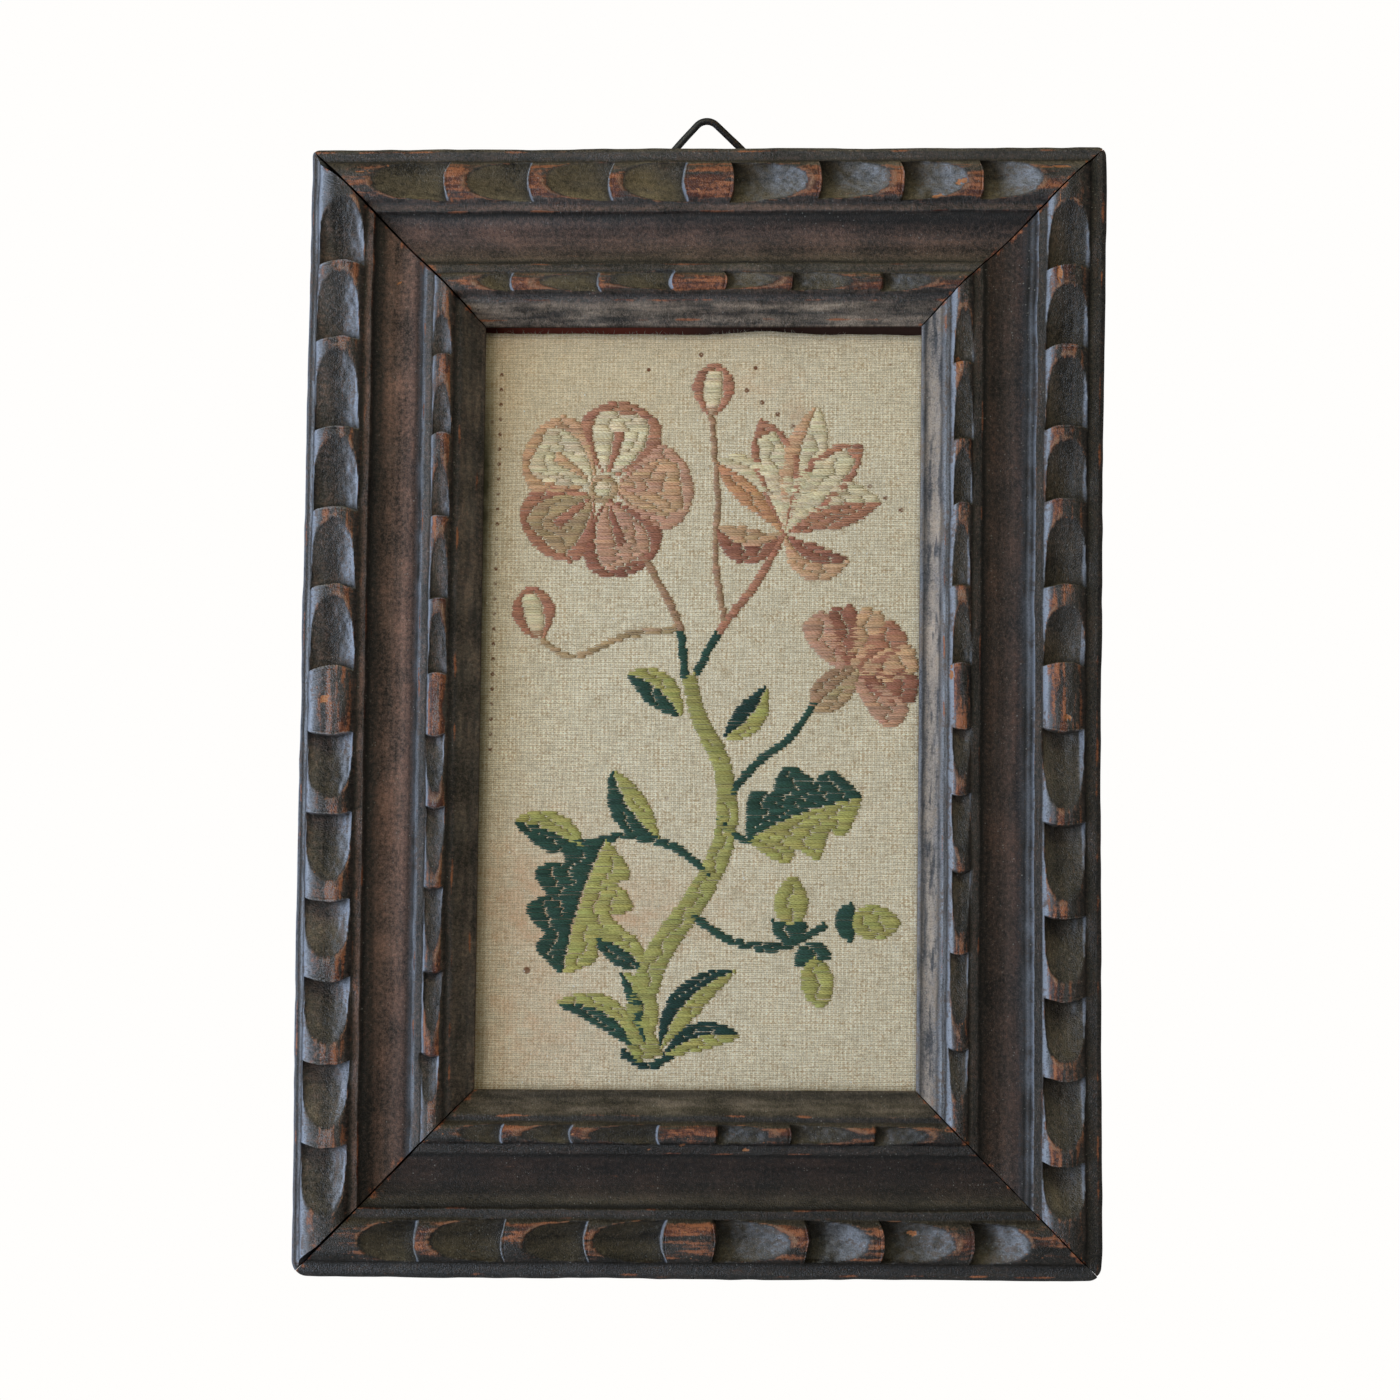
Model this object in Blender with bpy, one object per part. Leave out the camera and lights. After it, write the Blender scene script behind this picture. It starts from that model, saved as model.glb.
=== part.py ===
"""A panel of cream cloth worked in wool, in a hand-carved ebonised frame with a bent wire to hang it by.

Sizes are in millimetres in the panel's own axes, and become metres in the meshes. x runs across the panel
and z up it, both from its centre. y runs from the frame's flat back, and the front is on negative y. The
panel leans a little out of square, as the hand-made frame does. The root empty puts the world's origin
at the point that the wire hangs from.
"""

import math
from typing import NamedTuple

import bmesh
import bpy
from mathutils import Vector

MM = 0.001
SHARP_ANGLE_DEG = 28.0

# Driving dimensions, in millimetres.
FRAME_WIDTH = 224.0
FRAME_HEIGHT = 316.0
LEAN = 2.9
TOP_RAIL_WIDTH = 48.6
BOTTOM_RAIL_WIDTH = 50.4
LEFT_RAIL_WIDTH = 48.8
RIGHT_RAIL_WIDTH = 50.6
CLEARANCE = 0.35
MITRE_OPENING = 0.45
CORNER_ROUNDING = 2.4

# The moulding comes in one width, and each rail's section is that one drawn out to its own width.
STOCK_WIDTH = 50.0
ARRIS = 0.9
COVE_DEPTH = 3.1
COVE_ROUNDNESS = 0.8
COVE_STEPS = 7
HOLLOW_SAG = 0.5
HOLLOW_STEPS = 3
SHOULDER_FULLNESS = 2.4
REBATE_WIDTH = 6.0
REBATE_DEPTH = 7.0


class Corner(NamedTuple):
    """A corner of the section: how far across from the outer edge, and how high above the flat back."""

    across: float
    height: float


# The flat parts of the section, in order from the outer edge to the sight edge.
OUTER_LIP = (Corner(0.0, 0.0), Corner(0.0, 18.6), Corner(ARRIS, 19.5))
OUTER_FILLET = (Corner(15.7, 19.8), Corner(18.4, 19.8))
COVE_START = Corner(18.55, 18.4)
COVE_END = Corner(33.05, 17.1)
INNER_FILLET = (Corner(33.5, 17.9),)
LOW_FILLET = (Corner(42.0, 16.4),)
HOLLOW_START = Corner(43.8, 16.3)
HOLLOW_END = Corner(STOCK_WIDTH, 9.3)

# How the scallops are cut.
WALL_LEAN = 0.15
CUTTER_HEADROOM = 1.2
TIP_EXCESS = 0.35

# What lies in the rebate, as heights above the flat back.
BOARD_BACK = 1.8
BOARD_THICKNESS = 3.0
CLOTH_MIDDLE = 5.9
CLOTH_THICKNESS = 1.0
CLOTH_SWELL = 0.2
CLOTH_SWELL_WIDTH = 19.0
CLOTH_SWELL_HEIGHT = 27.0
CLOTH_COLUMNS = 12
CLOTH_ROWS = 18
CLOTH_TOP_DROP = 0.6
CLOTH_TOP_SLOPE = 0.0355

# The wire.
WIRE_DIAMETER = 2.1
WIRE_STANDOFF = 1.4
WIRE_END_DEPTH = 5.0
WIRE_HOLE_RADIUS = 1.75
WIRE_HOLE_DEPTH = 5.8
WIRE_HOLE_SIDES = 12
BEND_STEPS = 4
LEFT_LEG = -13.2
RIGHT_LEG = 16.6
LEG_FOOT = 143.5


class Rail(NamedTuple):
    """A length of moulding: upright or level, on the plus or the minus side of the panel's centre."""

    name: str
    upright: bool
    side: int
    width: float
    low_neighbour: float
    high_neighbour: float

    @property
    def length(self):
        return FRAME_HEIGHT if self.upright else FRAME_WIDTH

    @property
    def reach(self):
        return (FRAME_WIDTH if self.upright else FRAME_HEIGHT) / 2


RAILS = (
    Rail("frame_rail_top", False, 1, TOP_RAIL_WIDTH, LEFT_RAIL_WIDTH, RIGHT_RAIL_WIDTH),
    Rail("frame_rail_bottom", False, -1, BOTTOM_RAIL_WIDTH, LEFT_RAIL_WIDTH, RIGHT_RAIL_WIDTH),
    Rail("frame_rail_left", True, -1, LEFT_RAIL_WIDTH, BOTTOM_RAIL_WIDTH, TOP_RAIL_WIDTH),
    Rail("frame_rail_right", True, 1, RIGHT_RAIL_WIDTH, BOTTOM_RAIL_WIDTH, TOP_RAIL_WIDTH),
)


class Ridge(NamedTuple):
    """A half-round ridge along the moulding, and the gouge that its scallops are cut with."""

    centre: float
    half_width: float
    base: float
    rise: float
    steps: int
    floor: float
    gouge_radius: float
    tip_power: float
    wall_bulge: float
    margin: float
    cut_steps: int
    cut_columns: int

    @property
    def crest(self):
        return self.base + self.rise


OUTER_RIDGE = Ridge(
    centre=9.8, half_width=5.9, base=19.6, rise=3.8, steps=8,
    floor=17.6, gouge_radius=9.0, tip_power=1.7, wall_bulge=1.6, margin=0.9, cut_steps=5, cut_columns=6,
)
INNER_RIDGE = Ridge(
    centre=38.7, half_width=2.8, base=17.6, rise=2.1, steps=6,
    floor=16.95, gouge_radius=5.0, tip_power=1.25, wall_bulge=0.9, margin=0.5, cut_steps=4, cut_columns=4,
)


class Scallop(NamedTuple):
    """One cut along a rail, from its stop wall to its tip, measured from the rail's middle."""

    stop: float
    tip: float


# Cut by eye, so no two spacings are the same. Each row is the run from the middle block to one end.
OUTER_SCALLOPS = {
    "frame_rail_top": (
        (Scallop(-7, -24), Scallop(-28, -46), Scallop(-51, -69), Scallop(-74.5, -95.5)),
        (Scallop(8, 29.5), Scallop(33, 52.5), Scallop(56, 74), Scallop(78.5, 94.5)),
    ),
    "frame_rail_bottom": (
        (Scallop(-9.5, -28.5), Scallop(-31, -48), Scallop(-54, -73.5), Scallop(-78.5, -93.5)),
        (Scallop(6.5, 27), Scallop(32, 48.5), Scallop(52.5, 72.5), Scallop(77.5, 92.5)),
    ),
    "frame_rail_left": (
        (Scallop(-8.5, -26), Scallop(-31, -49), Scallop(-55, -70.5), Scallop(-77, -94.5),
         Scallop(-100, -117.5), Scallop(-123, -141.5)),
        (Scallop(11.5, 31.5), Scallop(34.5, 53.5), Scallop(56.5, 76.5), Scallop(79.5, 101.5),
         Scallop(105, 123.5), Scallop(126.5, 144)),
    ),
    "frame_rail_right": (
        (Scallop(-7.5, -29), Scallop(-33.5, -54), Scallop(-59.5, -77), Scallop(-82, -99),
         Scallop(-104, -122), Scallop(-127.5, -141.5)),
        (Scallop(13, 28.5), Scallop(35, 53), Scallop(59, 75), Scallop(79.5, 98.5),
         Scallop(102, 118.5), Scallop(124.5, 142)),
    ),
}
INNER_SCALLOPS = {
    "frame_rail_top": (
        (Scallop(-10.5, -28), Scallop(-31, -49), Scallop(-55.5, -66)),
        (Scallop(6, 21.5), Scallop(25, 43.5), Scallop(50.5, 64.5)),
    ),
    "frame_rail_bottom": (
        (Scallop(-11.5, -30), Scallop(-35.5, -50), Scallop(-55, -66.5)),
        (Scallop(6.5, 22), Scallop(26.5, 46), Scallop(50.5, 65.5)),
    ),
    "frame_rail_left": (
        (Scallop(-8.5, -25.5), Scallop(-29, -48.5), Scallop(-51.5, -70), Scallop(-75, -92),
         Scallop(-98, -111)),
        (Scallop(10, 28), Scallop(31, 50), Scallop(54.5, 72), Scallop(78, 93),
         Scallop(100.5, 112.5)),
    ),
    "frame_rail_right": (
        (Scallop(-6.5, -20.5), Scallop(-25, -41.5), Scallop(-46.5, -65.5), Scallop(-69, -90.5),
         Scallop(-96, -108.5)),
        (Scallop(13, 31.5), Scallop(35, 53.5), Scallop(58, 73.5), Scallop(76.5, 94.5),
         Scallop(98, 112.5)),
    ),
}


class Bend(NamedTuple):
    """A corner of the wire's route, in panel axes, with the radius that it is bent to."""

    x: float
    y: float
    z: float
    radius: float


# From the left end, in the frame's back, up to the peak and down to the right end.
WIRE_ROUTE = (
    Bend(LEFT_LEG, -WIRE_END_DEPTH, LEG_FOOT, 0.0),
    Bend(LEFT_LEG, WIRE_STANDOFF, LEG_FOOT, 2.2),
    Bend(LEFT_LEG, WIRE_STANDOFF, 157.8, 4.0),
    Bend(0.6, WIRE_STANDOFF, 173.2, 4.0),
    Bend(RIGHT_LEG, WIRE_STANDOFF, 157.4, 4.0),
    Bend(RIGHT_LEG, WIRE_STANDOFF, LEG_FOOT, 2.2),
    Bend(RIGHT_LEG, -WIRE_END_DEPTH, LEG_FOOT, 0.0),
)


def leaned(x, z):
    """The x of a point once the panel leans: it moves sideways by its share of the height."""
    return x + LEAN * z / FRAME_HEIGHT


def panel_point(x, y, z):
    """A point of the square panel in metres, with the panel's lean."""
    return Vector((leaned(x, z), y, z)) * MM


def rail_point(rail, along, across, height):
    """A point of a rail: along it from its middle, across it from its outer edge, above its back."""
    inward = rail.side * (rail.reach - across)
    x, z = (inward, along) if rail.upright else (along, inward)
    return panel_point(x, -height, z)


def ridge_outline(ridge):
    """The ridge's section from foot to foot: a half-round with full shoulders."""
    points = []
    for step in range(ridge.steps + 1):
        angle = math.pi * (1 - step / ridge.steps)
        sideways = math.copysign(abs(math.cos(angle)) ** (2 / SHOULDER_FULLNESS), math.cos(angle))
        height = ridge.base + ridge.rise * math.sin(angle)
        points.append(Corner(ridge.centre + ridge.half_width * sideways, height))
    return points


def sunk_outline(start, end, depth, roundness, steps):
    """A straight fall from one corner to another with a shallow arch taken out of it."""
    points = []
    for step in range(steps + 1):
        share = step / steps
        straight = start.height + (end.height - start.height) * share
        sunk = depth * math.sin(math.pi * share) ** roundness
        points.append(Corner(start.across + (end.across - start.across) * share, straight - sunk))
    return points


def moulding_outline():
    """The section's corners, from the outer back corner over the front to the rebate."""
    outline = [*OUTER_LIP, *ridge_outline(OUTER_RIDGE), *OUTER_FILLET]
    outline += sunk_outline(COVE_START, COVE_END, COVE_DEPTH, COVE_ROUNDNESS, COVE_STEPS)
    outline += [*INNER_FILLET, *ridge_outline(INNER_RIDGE), *LOW_FILLET]
    outline += sunk_outline(HOLLOW_START, HOLLOW_END, HOLLOW_SAG, 1.0, HOLLOW_STEPS)
    outline.append(Corner(STOCK_WIDTH, REBATE_DEPTH))
    return outline


def mitre_end(rail, across, neighbour):
    """How far from the rail's middle its mitre lies at a distance across it."""
    return rail.length / 2 - across * neighbour / rail.width - MITRE_OPENING / math.sqrt(2)


def build_rail_mesh(rail):
    """The plain moulding with its two mitres and its rounded outer corners."""
    scale = rail.width / STOCK_WIDTH
    outline = [Corner(corner.across * scale, corner.height) for corner in moulding_outline()]
    rebate_edge = rail.width - REBATE_WIDTH
    outline += [Corner(rebate_edge, REBATE_DEPTH), Corner(rebate_edge, 0.0), Corner(ARRIS * scale, 0.0)]
    mesh = bmesh.new()
    rows = []
    for across, height in outline:
        if across == 0.0:
            low = high = rail.length / 2 - CORNER_ROUNDING
        else:
            low = mitre_end(rail, across, rail.low_neighbour)
            high = mitre_end(rail, across, rail.high_neighbour)
        rows.append(tuple(mesh.verts.new(rail_point(rail, along, across, height)) for along in (-low, high)))
    for index, (low, high) in enumerate(rows):
        next_low, next_high = rows[(index + 1) % len(rows)]
        mesh.faces.new((low, high, next_high, next_low))
    for ring in zip(*rows):
        rounding = (ring[0], ring[1], ring[2], ring[-1])
        mitre = ring[2:]
        mesh.faces.new(rounding)
        mesh.faces.new(mitre)
    bmesh.ops.recalc_face_normals(mesh, faces=mesh.faces)
    return mesh


def scallop_floor(ridge, length, along, sideways):
    """The gouge's path: round across, deepest at the stop wall and rising to come out at the tip."""
    depth = ridge.crest - ridge.floor
    rise = depth * (along / length) ** ridge.tip_power
    sag = ridge.gouge_radius - math.sqrt(ridge.gouge_radius ** 2 - sideways ** 2)
    return ridge.floor + rise + sag


def add_scallop_cutter(mesh, rail, ridge, scallop):
    """A closed body that takes one scallop out of a ridge."""
    direction = math.copysign(1.0, scallop.tip - scallop.stop)
    length = abs(scallop.tip - scallop.stop)
    depth = ridge.crest - ridge.floor
    overrun = length * ((depth + TIP_EXCESS) / depth) ** (1 / ridge.tip_power)
    scale = rail.width / STOCK_WIDTH
    top = ridge.crest + CUTTER_HEADROOM
    floor_rows, top_rows = [], []
    for step in range(ridge.cut_steps + 1):
        share = step / ridge.cut_steps
        along = overrun * share
        reach = ridge.margin + ridge.half_width * math.sqrt(1 - share ** 3)
        floor_row, top_row = [], []
        for column in range(ridge.cut_columns + 1):
            sideways = reach * (2 * column / ridge.cut_columns - 1)
            height = scallop_floor(ridge, length, along, sideways)
            bulge = ridge.wall_bulge * (sideways / ridge.half_width) ** 2 * (1 - share) ** 2
            lean = WALL_LEAN * (top - height) * (1 if step == 0 else 0)
            across = (ridge.centre + sideways) * scale
            for row, shift, level in ((floor_row, bulge, height), (top_row, bulge + lean, top)):
                place = scallop.stop + direction * (along - shift)
                row.append(mesh.verts.new(rail_point(rail, place, across, level)))
        floor_rows.append(floor_row)
        top_rows.append(top_row)
    for rows in (floor_rows, top_rows):
        for row, next_row in zip(rows, rows[1:]):
            for column in range(ridge.cut_columns):
                mesh.faces.new((row[column], row[column + 1], next_row[column + 1], next_row[column]))
    rim = list(zip(floor_rows[0], top_rows[0]))
    rim += [(floor[-1], above[-1]) for floor, above in zip(floor_rows[1:], top_rows[1:])]
    rim += list(zip(floor_rows[-1], top_rows[-1]))[-2::-1]
    rim += [(floor[0], above[0]) for floor, above in zip(floor_rows[-2:0:-1], top_rows[-2:0:-1])]
    for (floor, above), (next_floor, next_above) in zip(rim, rim[1:] + rim[:1]):
        mesh.faces.new((floor, next_floor, next_above, above))


def add_wire_hole(mesh, x, z):
    """A round cutter for a hole in the frame's back that an end of the wire goes into."""
    rings = []
    for y in (-WIRE_HOLE_DEPTH, CUTTER_HEADROOM):
        ring = []
        for side in range(WIRE_HOLE_SIDES):
            angle = 2 * math.pi * side / WIRE_HOLE_SIDES
            spoke = Vector((math.cos(angle), 0.0, math.sin(angle))) * WIRE_HOLE_RADIUS
            ring.append(mesh.verts.new((Vector((x, y, z)) + spoke) * MM))
        rings.append(ring)
    deep, mouth = rings
    for side in range(WIRE_HOLE_SIDES):
        following = (side + 1) % WIRE_HOLE_SIDES
        mesh.faces.new((deep[side], deep[following], mouth[following], mouth[side]))
    mesh.faces.new(deep)
    mesh.faces.new(mouth)


def make_material(name, colour, roughness, metallic=0.0):
    """A plain finish of one colour."""
    material = bpy.data.materials.new(name)
    material.use_nodes = True
    shader = material.node_tree.nodes["Principled BSDF"]
    shader.inputs["Base Color"].default_value = (*colour, 1.0)
    shader.inputs["Roughness"].default_value = roughness
    shader.inputs["Metallic"].default_value = metallic
    return material


def make_object(name, data, root, material=None):
    """An object on the root empty, with its own finish."""
    if material:
        data.materials.append(material)
    thing = bpy.data.objects.new(name, data)
    bpy.context.scene.collection.objects.link(thing)
    thing.parent = root
    return thing


def mesh_from(name, shape):
    """A mesh from a bmesh, which is then let go: smooth over gentle turns and sharp at corners."""
    data = bpy.data.meshes.new(name)
    shape.to_mesh(data)
    shape.free()
    data.shade_smooth()
    data.set_sharp_from_angle(angle=math.radians(SHARP_ANGLE_DEG))
    return data


def build_rail(rail, root, material):
    """One carved rail: the plain moulding, less its scallops and, on the top one, the wire's holes."""
    thing = make_object(rail.name, mesh_from(rail.name, build_rail_mesh(rail)), root, material)
    cuts = bmesh.new()
    for ridge, scallops in ((OUTER_RIDGE, OUTER_SCALLOPS), (INNER_RIDGE, INNER_SCALLOPS)):
        for run in scallops[rail.name]:
            for scallop in run:
                add_scallop_cutter(cuts, rail, ridge, scallop)
    if rail.name == "frame_rail_top":
        for leg in (LEFT_LEG, RIGHT_LEG):
            add_wire_hole(cuts, leg, LEG_FOOT)
    bmesh.ops.recalc_face_normals(cuts, faces=cuts.faces)
    cutter_name = rail.name + "_cuts"
    cutter = make_object(cutter_name, mesh_from(cutter_name, cuts), root)
    cutter.hide_render = True
    cutter.display_type = "WIRE"
    carving = thing.modifiers.new("carving", "BOOLEAN")
    carving.operation = "DIFFERENCE"
    carving.object = cutter


def rebate_limits():
    """The rebate's clear space between its walls, as low and high x and z."""
    inset = REBATE_WIDTH - CLEARANCE
    half_width, half_height = FRAME_WIDTH / 2, FRAME_HEIGHT / 2
    low_x = LEFT_RAIL_WIDTH - inset - half_width
    high_x = half_width - RIGHT_RAIL_WIDTH + inset
    low_z = BOTTOM_RAIL_WIDTH - inset - half_height
    high_z = half_height - TOP_RAIL_WIDTH + inset
    return low_x, high_x, low_z, high_z


def build_cloth(root, material):
    """The cloth: a thin sheet, a little uneven, whose raw top edge runs aslant below the sight edge."""
    low_x, high_x, low_z, high_z = rebate_limits()
    sight_top = FRAME_HEIGHT / 2 - TOP_RAIL_WIDTH
    shape = bmesh.new()
    rows = []
    for row in range(CLOTH_ROWS + 1):
        points = []
        for column in range(CLOTH_COLUMNS + 1):
            x = low_x + (high_x - low_x) * column / CLOTH_COLUMNS
            top = min(high_z, sight_top - CLOTH_TOP_DROP + CLOTH_TOP_SLOPE * x)
            z = low_z + (top - low_z) * row / CLOTH_ROWS
            swell = CLOTH_SWELL * math.sin(x / CLOTH_SWELL_WIDTH) * math.cos(z / CLOTH_SWELL_HEIGHT)
            points.append(shape.verts.new(panel_point(x, -CLOTH_MIDDLE - swell, z)))
        rows.append(points)
    for row, next_row in zip(rows, rows[1:]):
        for column in range(CLOTH_COLUMNS):
            shape.faces.new((row[column], row[column + 1], next_row[column + 1], next_row[column]))
    thing = make_object("embroidered_cloth", mesh_from("embroidered_cloth", shape), root, material)
    weave = thing.modifiers.new("thickness", "SOLIDIFY")
    weave.thickness = CLOTH_THICKNESS * MM
    weave.offset = 0.0


def build_board(root, material):
    """The board behind the cloth, held in the rebate."""
    low_x, high_x, low_z, high_z = rebate_limits()
    corners = ((low_x, low_z), (high_x, low_z), (high_x, high_z), (low_x, high_z))
    shape = bmesh.new()
    back = [shape.verts.new(panel_point(x, -BOARD_BACK, z)) for x, z in corners]
    front = [shape.verts.new(panel_point(x, -BOARD_BACK - BOARD_THICKNESS, z)) for x, z in corners]
    shape.faces.new(back)
    shape.faces.new(front)
    for side in range(4):
        following = (side + 1) % 4
        shape.faces.new((back[side], back[following], front[following], front[side]))
    bmesh.ops.recalc_face_normals(shape, faces=shape.faces)
    make_object("backing_board", mesh_from("backing_board", shape), root, material)


def bent_route(bends):
    """A line through the bends, each corner but the ends replaced by an arc of its radius."""
    corners = [Vector((bend.x, bend.y, bend.z)) for bend in bends]
    points = [corners[0]]
    for before, corner, after, bend in zip(corners, corners[1:], corners[2:], bends[1:]):
        towards_before = (before - corner).normalized()
        towards_after = (after - corner).normalized()
        half_angle = towards_before.angle(towards_after) / 2
        middle = (towards_before + towards_after).normalized()
        centre = corner + middle * bend.radius / math.sin(half_angle)
        start = corner + towards_before * bend.radius / math.tan(half_angle)
        end = corner + towards_after * bend.radius / math.tan(half_angle)
        for step in range(BEND_STEPS + 1):
            spoke = (start - centre).slerp(end - centre, step / BEND_STEPS)
            points.append(centre + spoke * bend.radius)
    points.append(corners[-1])
    return points


def build_loop(points, root, material):
    """The hanging loop: one wire, bent to a peak, its ends turned into the back of the top rail."""
    curve = bpy.data.curves.new("hanging_loop", "CURVE")
    curve.dimensions = "3D"
    curve.bevel_depth = WIRE_DIAMETER / 2 * MM
    curve.bevel_resolution = 2
    curve.use_fill_caps = True
    spline = curve.splines.new("POLY")
    spline.points.add(len(points) - 1)
    for spot, point in zip(spline.points, points):
        spot.co = (*(point * MM), 1.0)
    make_object("hanging_loop", curve, root, material)


def main():
    """Clears the scene and builds the panel."""
    for thing in list(bpy.data.objects):
        bpy.data.objects.remove(thing, do_unlink=True)
    wire_points = bent_route(WIRE_ROUTE)
    peak = max(wire_points, key=lambda point: point.z)
    root = bpy.data.objects.new("framed_needlepoint", None)
    root.location = (Vector((0.0, 0.0, WIRE_DIAMETER / 2)) - peak) * MM
    bpy.context.scene.collection.objects.link(root)
    wood = make_material("ebonised_wood", (0.035, 0.026, 0.021), 0.45)
    for rail in RAILS:
        build_rail(rail, root, wood)
    build_cloth(root, make_material("cream_cloth", (0.55, 0.48, 0.36), 0.95))
    build_board(root, make_material("red_board", (0.16, 0.03, 0.02), 0.8))
    build_loop(wire_points, root, make_material("iron_wire", (0.05, 0.045, 0.04), 0.5, 0.9))


main()
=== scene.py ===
"""The looks of a small needlepoint panel in a hand-carved frame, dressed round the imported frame.

Shapes are worked out in millimetres in the panel's own axes and put into the meshes in metres. x runs
across the panel and z up it, both from its centre. y runs from the frame's flat back, and the front is on
negative y.
"""

import logging
import math
from dataclasses import dataclass
from enum import Enum
from typing import Callable, Mapping, Optional, Sequence, Union

import bpy
import numpy as np
from mathutils import Matrix, Vector


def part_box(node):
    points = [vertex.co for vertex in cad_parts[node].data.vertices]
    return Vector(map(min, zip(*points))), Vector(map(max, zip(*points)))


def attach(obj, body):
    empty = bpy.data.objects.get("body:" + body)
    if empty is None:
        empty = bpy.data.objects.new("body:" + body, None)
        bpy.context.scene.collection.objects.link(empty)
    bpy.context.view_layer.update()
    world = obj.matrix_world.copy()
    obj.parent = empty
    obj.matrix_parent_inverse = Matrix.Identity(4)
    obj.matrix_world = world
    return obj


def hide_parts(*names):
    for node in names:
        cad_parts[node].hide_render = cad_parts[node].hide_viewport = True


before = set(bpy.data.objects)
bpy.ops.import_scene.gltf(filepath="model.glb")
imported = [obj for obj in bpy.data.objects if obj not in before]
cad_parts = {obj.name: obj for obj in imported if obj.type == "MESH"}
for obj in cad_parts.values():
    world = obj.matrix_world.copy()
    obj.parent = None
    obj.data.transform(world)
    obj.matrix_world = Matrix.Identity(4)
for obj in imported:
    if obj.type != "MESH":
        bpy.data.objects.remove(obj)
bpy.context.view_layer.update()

MM = 0.001
BODY = "root"
PHOTO_SIDE = 1400

Array = np.ndarray
Material = bpy.types.Material
Piece = bpy.types.Object

log = logging.getLogger("needlepoint")


def stacked(*parts: object) -> Array:
    """Arrays or numbers as the last axis of one array."""
    return np.stack(np.broadcast_arrays(*parts), axis=-1)


def crosswise(directions: Array) -> Array:
    """Unit vectors a quarter turn clockwise from directions in the plane, one a row."""
    unit = directions / np.linalg.norm(directions, axis=1, keepdims=True)
    return stacked(unit[:, 1], -unit[:, 0])


@dataclass(frozen=True)
class Panel:
    """The whole panel: its size, its lean out of square, its bowed sides, and where the frame holds it."""

    centre_x: float
    centre_z: float
    back_y: float
    width: float = 224.0
    height: float = 316.0
    lean: float = 2.9
    left_bow: float = 0.45
    right_bow: float = 1.1
    bow_start: float = 0.6

    @classmethod
    def from_frame(cls) -> "Panel":
        """Reads the panel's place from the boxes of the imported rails."""
        left_low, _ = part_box("frame_rail_left")
        _, right_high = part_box("frame_rail_right")
        bottom_low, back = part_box("frame_rail_bottom")
        _, top_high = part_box("frame_rail_top")
        return cls((left_low.x + right_high.x) / 2, (bottom_low.z + top_high.z) / 2, back.y)

    def place(self, x: Array, y: Array, z: Array) -> Array:
        """Points of the square panel as world points in metres, with its lean and bow.

        The lean moves a point sideways by its share of the height. The bow moves it left by the cosine of
        its height, more and more from bow_start of the half width out to the edge.

        Args:
            x, y, z: arrays of one shape, in millimetres.

        Returns:
            An array of that shape with a last axis of three.
        """
        share = 2 * x / self.width
        pull = np.clip((np.abs(share) - self.bow_start) / (1 - self.bow_start), 0.0, 1.0)
        most = np.where(x < 0, self.left_bow, self.right_bow)
        bow = most * pull * np.cos(np.pi * np.clip(z / self.height, -0.5, 0.5))
        world_x = (x + self.lean * z / self.height - bow) * MM + self.centre_x
        return stacked(world_x, y * MM + self.back_y, z * MM + self.centre_z)

    def place_points(self, points: Array) -> Array:
        """Points whose last axis is x, y and z, placed and put into rows."""
        return self.place(*np.moveaxis(points, -1, 0)).reshape(-1, 3)

    @property
    def middle(self) -> Vector:
        """The middle of the panel's flat back, in metres."""
        return Vector((self.centre_x, self.back_y, self.centre_z))


@dataclass(frozen=True)
class ValueNoise:
    """Smooth noise from a seeded table: a square lattice of random values joined by smooth steps."""

    seed: int
    size: int = 256

    def __call__(self, u: Array, v: Array) -> Array:
        """The noise at u, v, from -1 to 1, where one unit is one cell of the lattice.

        Args:
            u, v: arrays that broadcast together.

        Returns:
            An array of their common shape.
        """
        table = np.random.default_rng(self.seed).uniform(-1.0, 1.0, (self.size, self.size))
        u, v = np.broadcast_arrays(u, v)
        column, row = np.floor(u).astype(int), np.floor(v).astype(int)
        along, up = u - column, v - row
        along, up = along * along * (3 - 2 * along), up * up * (3 - 2 * up)
        low = table[column % self.size, row % self.size] * (1 - along)
        low += table[(column + 1) % self.size, row % self.size] * along
        high = table[column % self.size, (row + 1) % self.size] * (1 - along)
        high += table[(column + 1) % self.size, (row + 1) % self.size] * along
        return low * (1 - up) + high * up


def ease(value: Array, low: float, high: float) -> Array:
    """A smooth step: 0 up to low, 1 from high on, three parts square less two parts cube between."""
    share = np.clip((value - low) / (high - low), 0.0, 1.0)
    return share * share * (3 - 2 * share)


def hump(value: Array, centre: float, spread: float) -> Array:
    """A bell curve of height 1 at the centre."""
    return np.exp(-(((value - centre) / spread) ** 2))


def lined(
    values: Array, across: Array, lines: Sequence, strength: Optional[Callable[[float], Array]] = None
) -> Array:
    """Draws lines along the moulding into values on it, where they are stronger than what is there.

    Args:
        values: what is there so far.
        across: each point's distance from the outer edge.
        lines: for each line its seat across, its spread and how strong it is at most.
        strength: a function of the seat that makes a line uneven along its run.

    Returns:
        The larger of the values and the lines, each line a bell curve across.
    """
    for seat, spread, most in lines:
        share = 1.0 if strength is None else strength(seat)
        values = np.maximum(values, most * share * hump(across, seat, spread))
    return values


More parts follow.
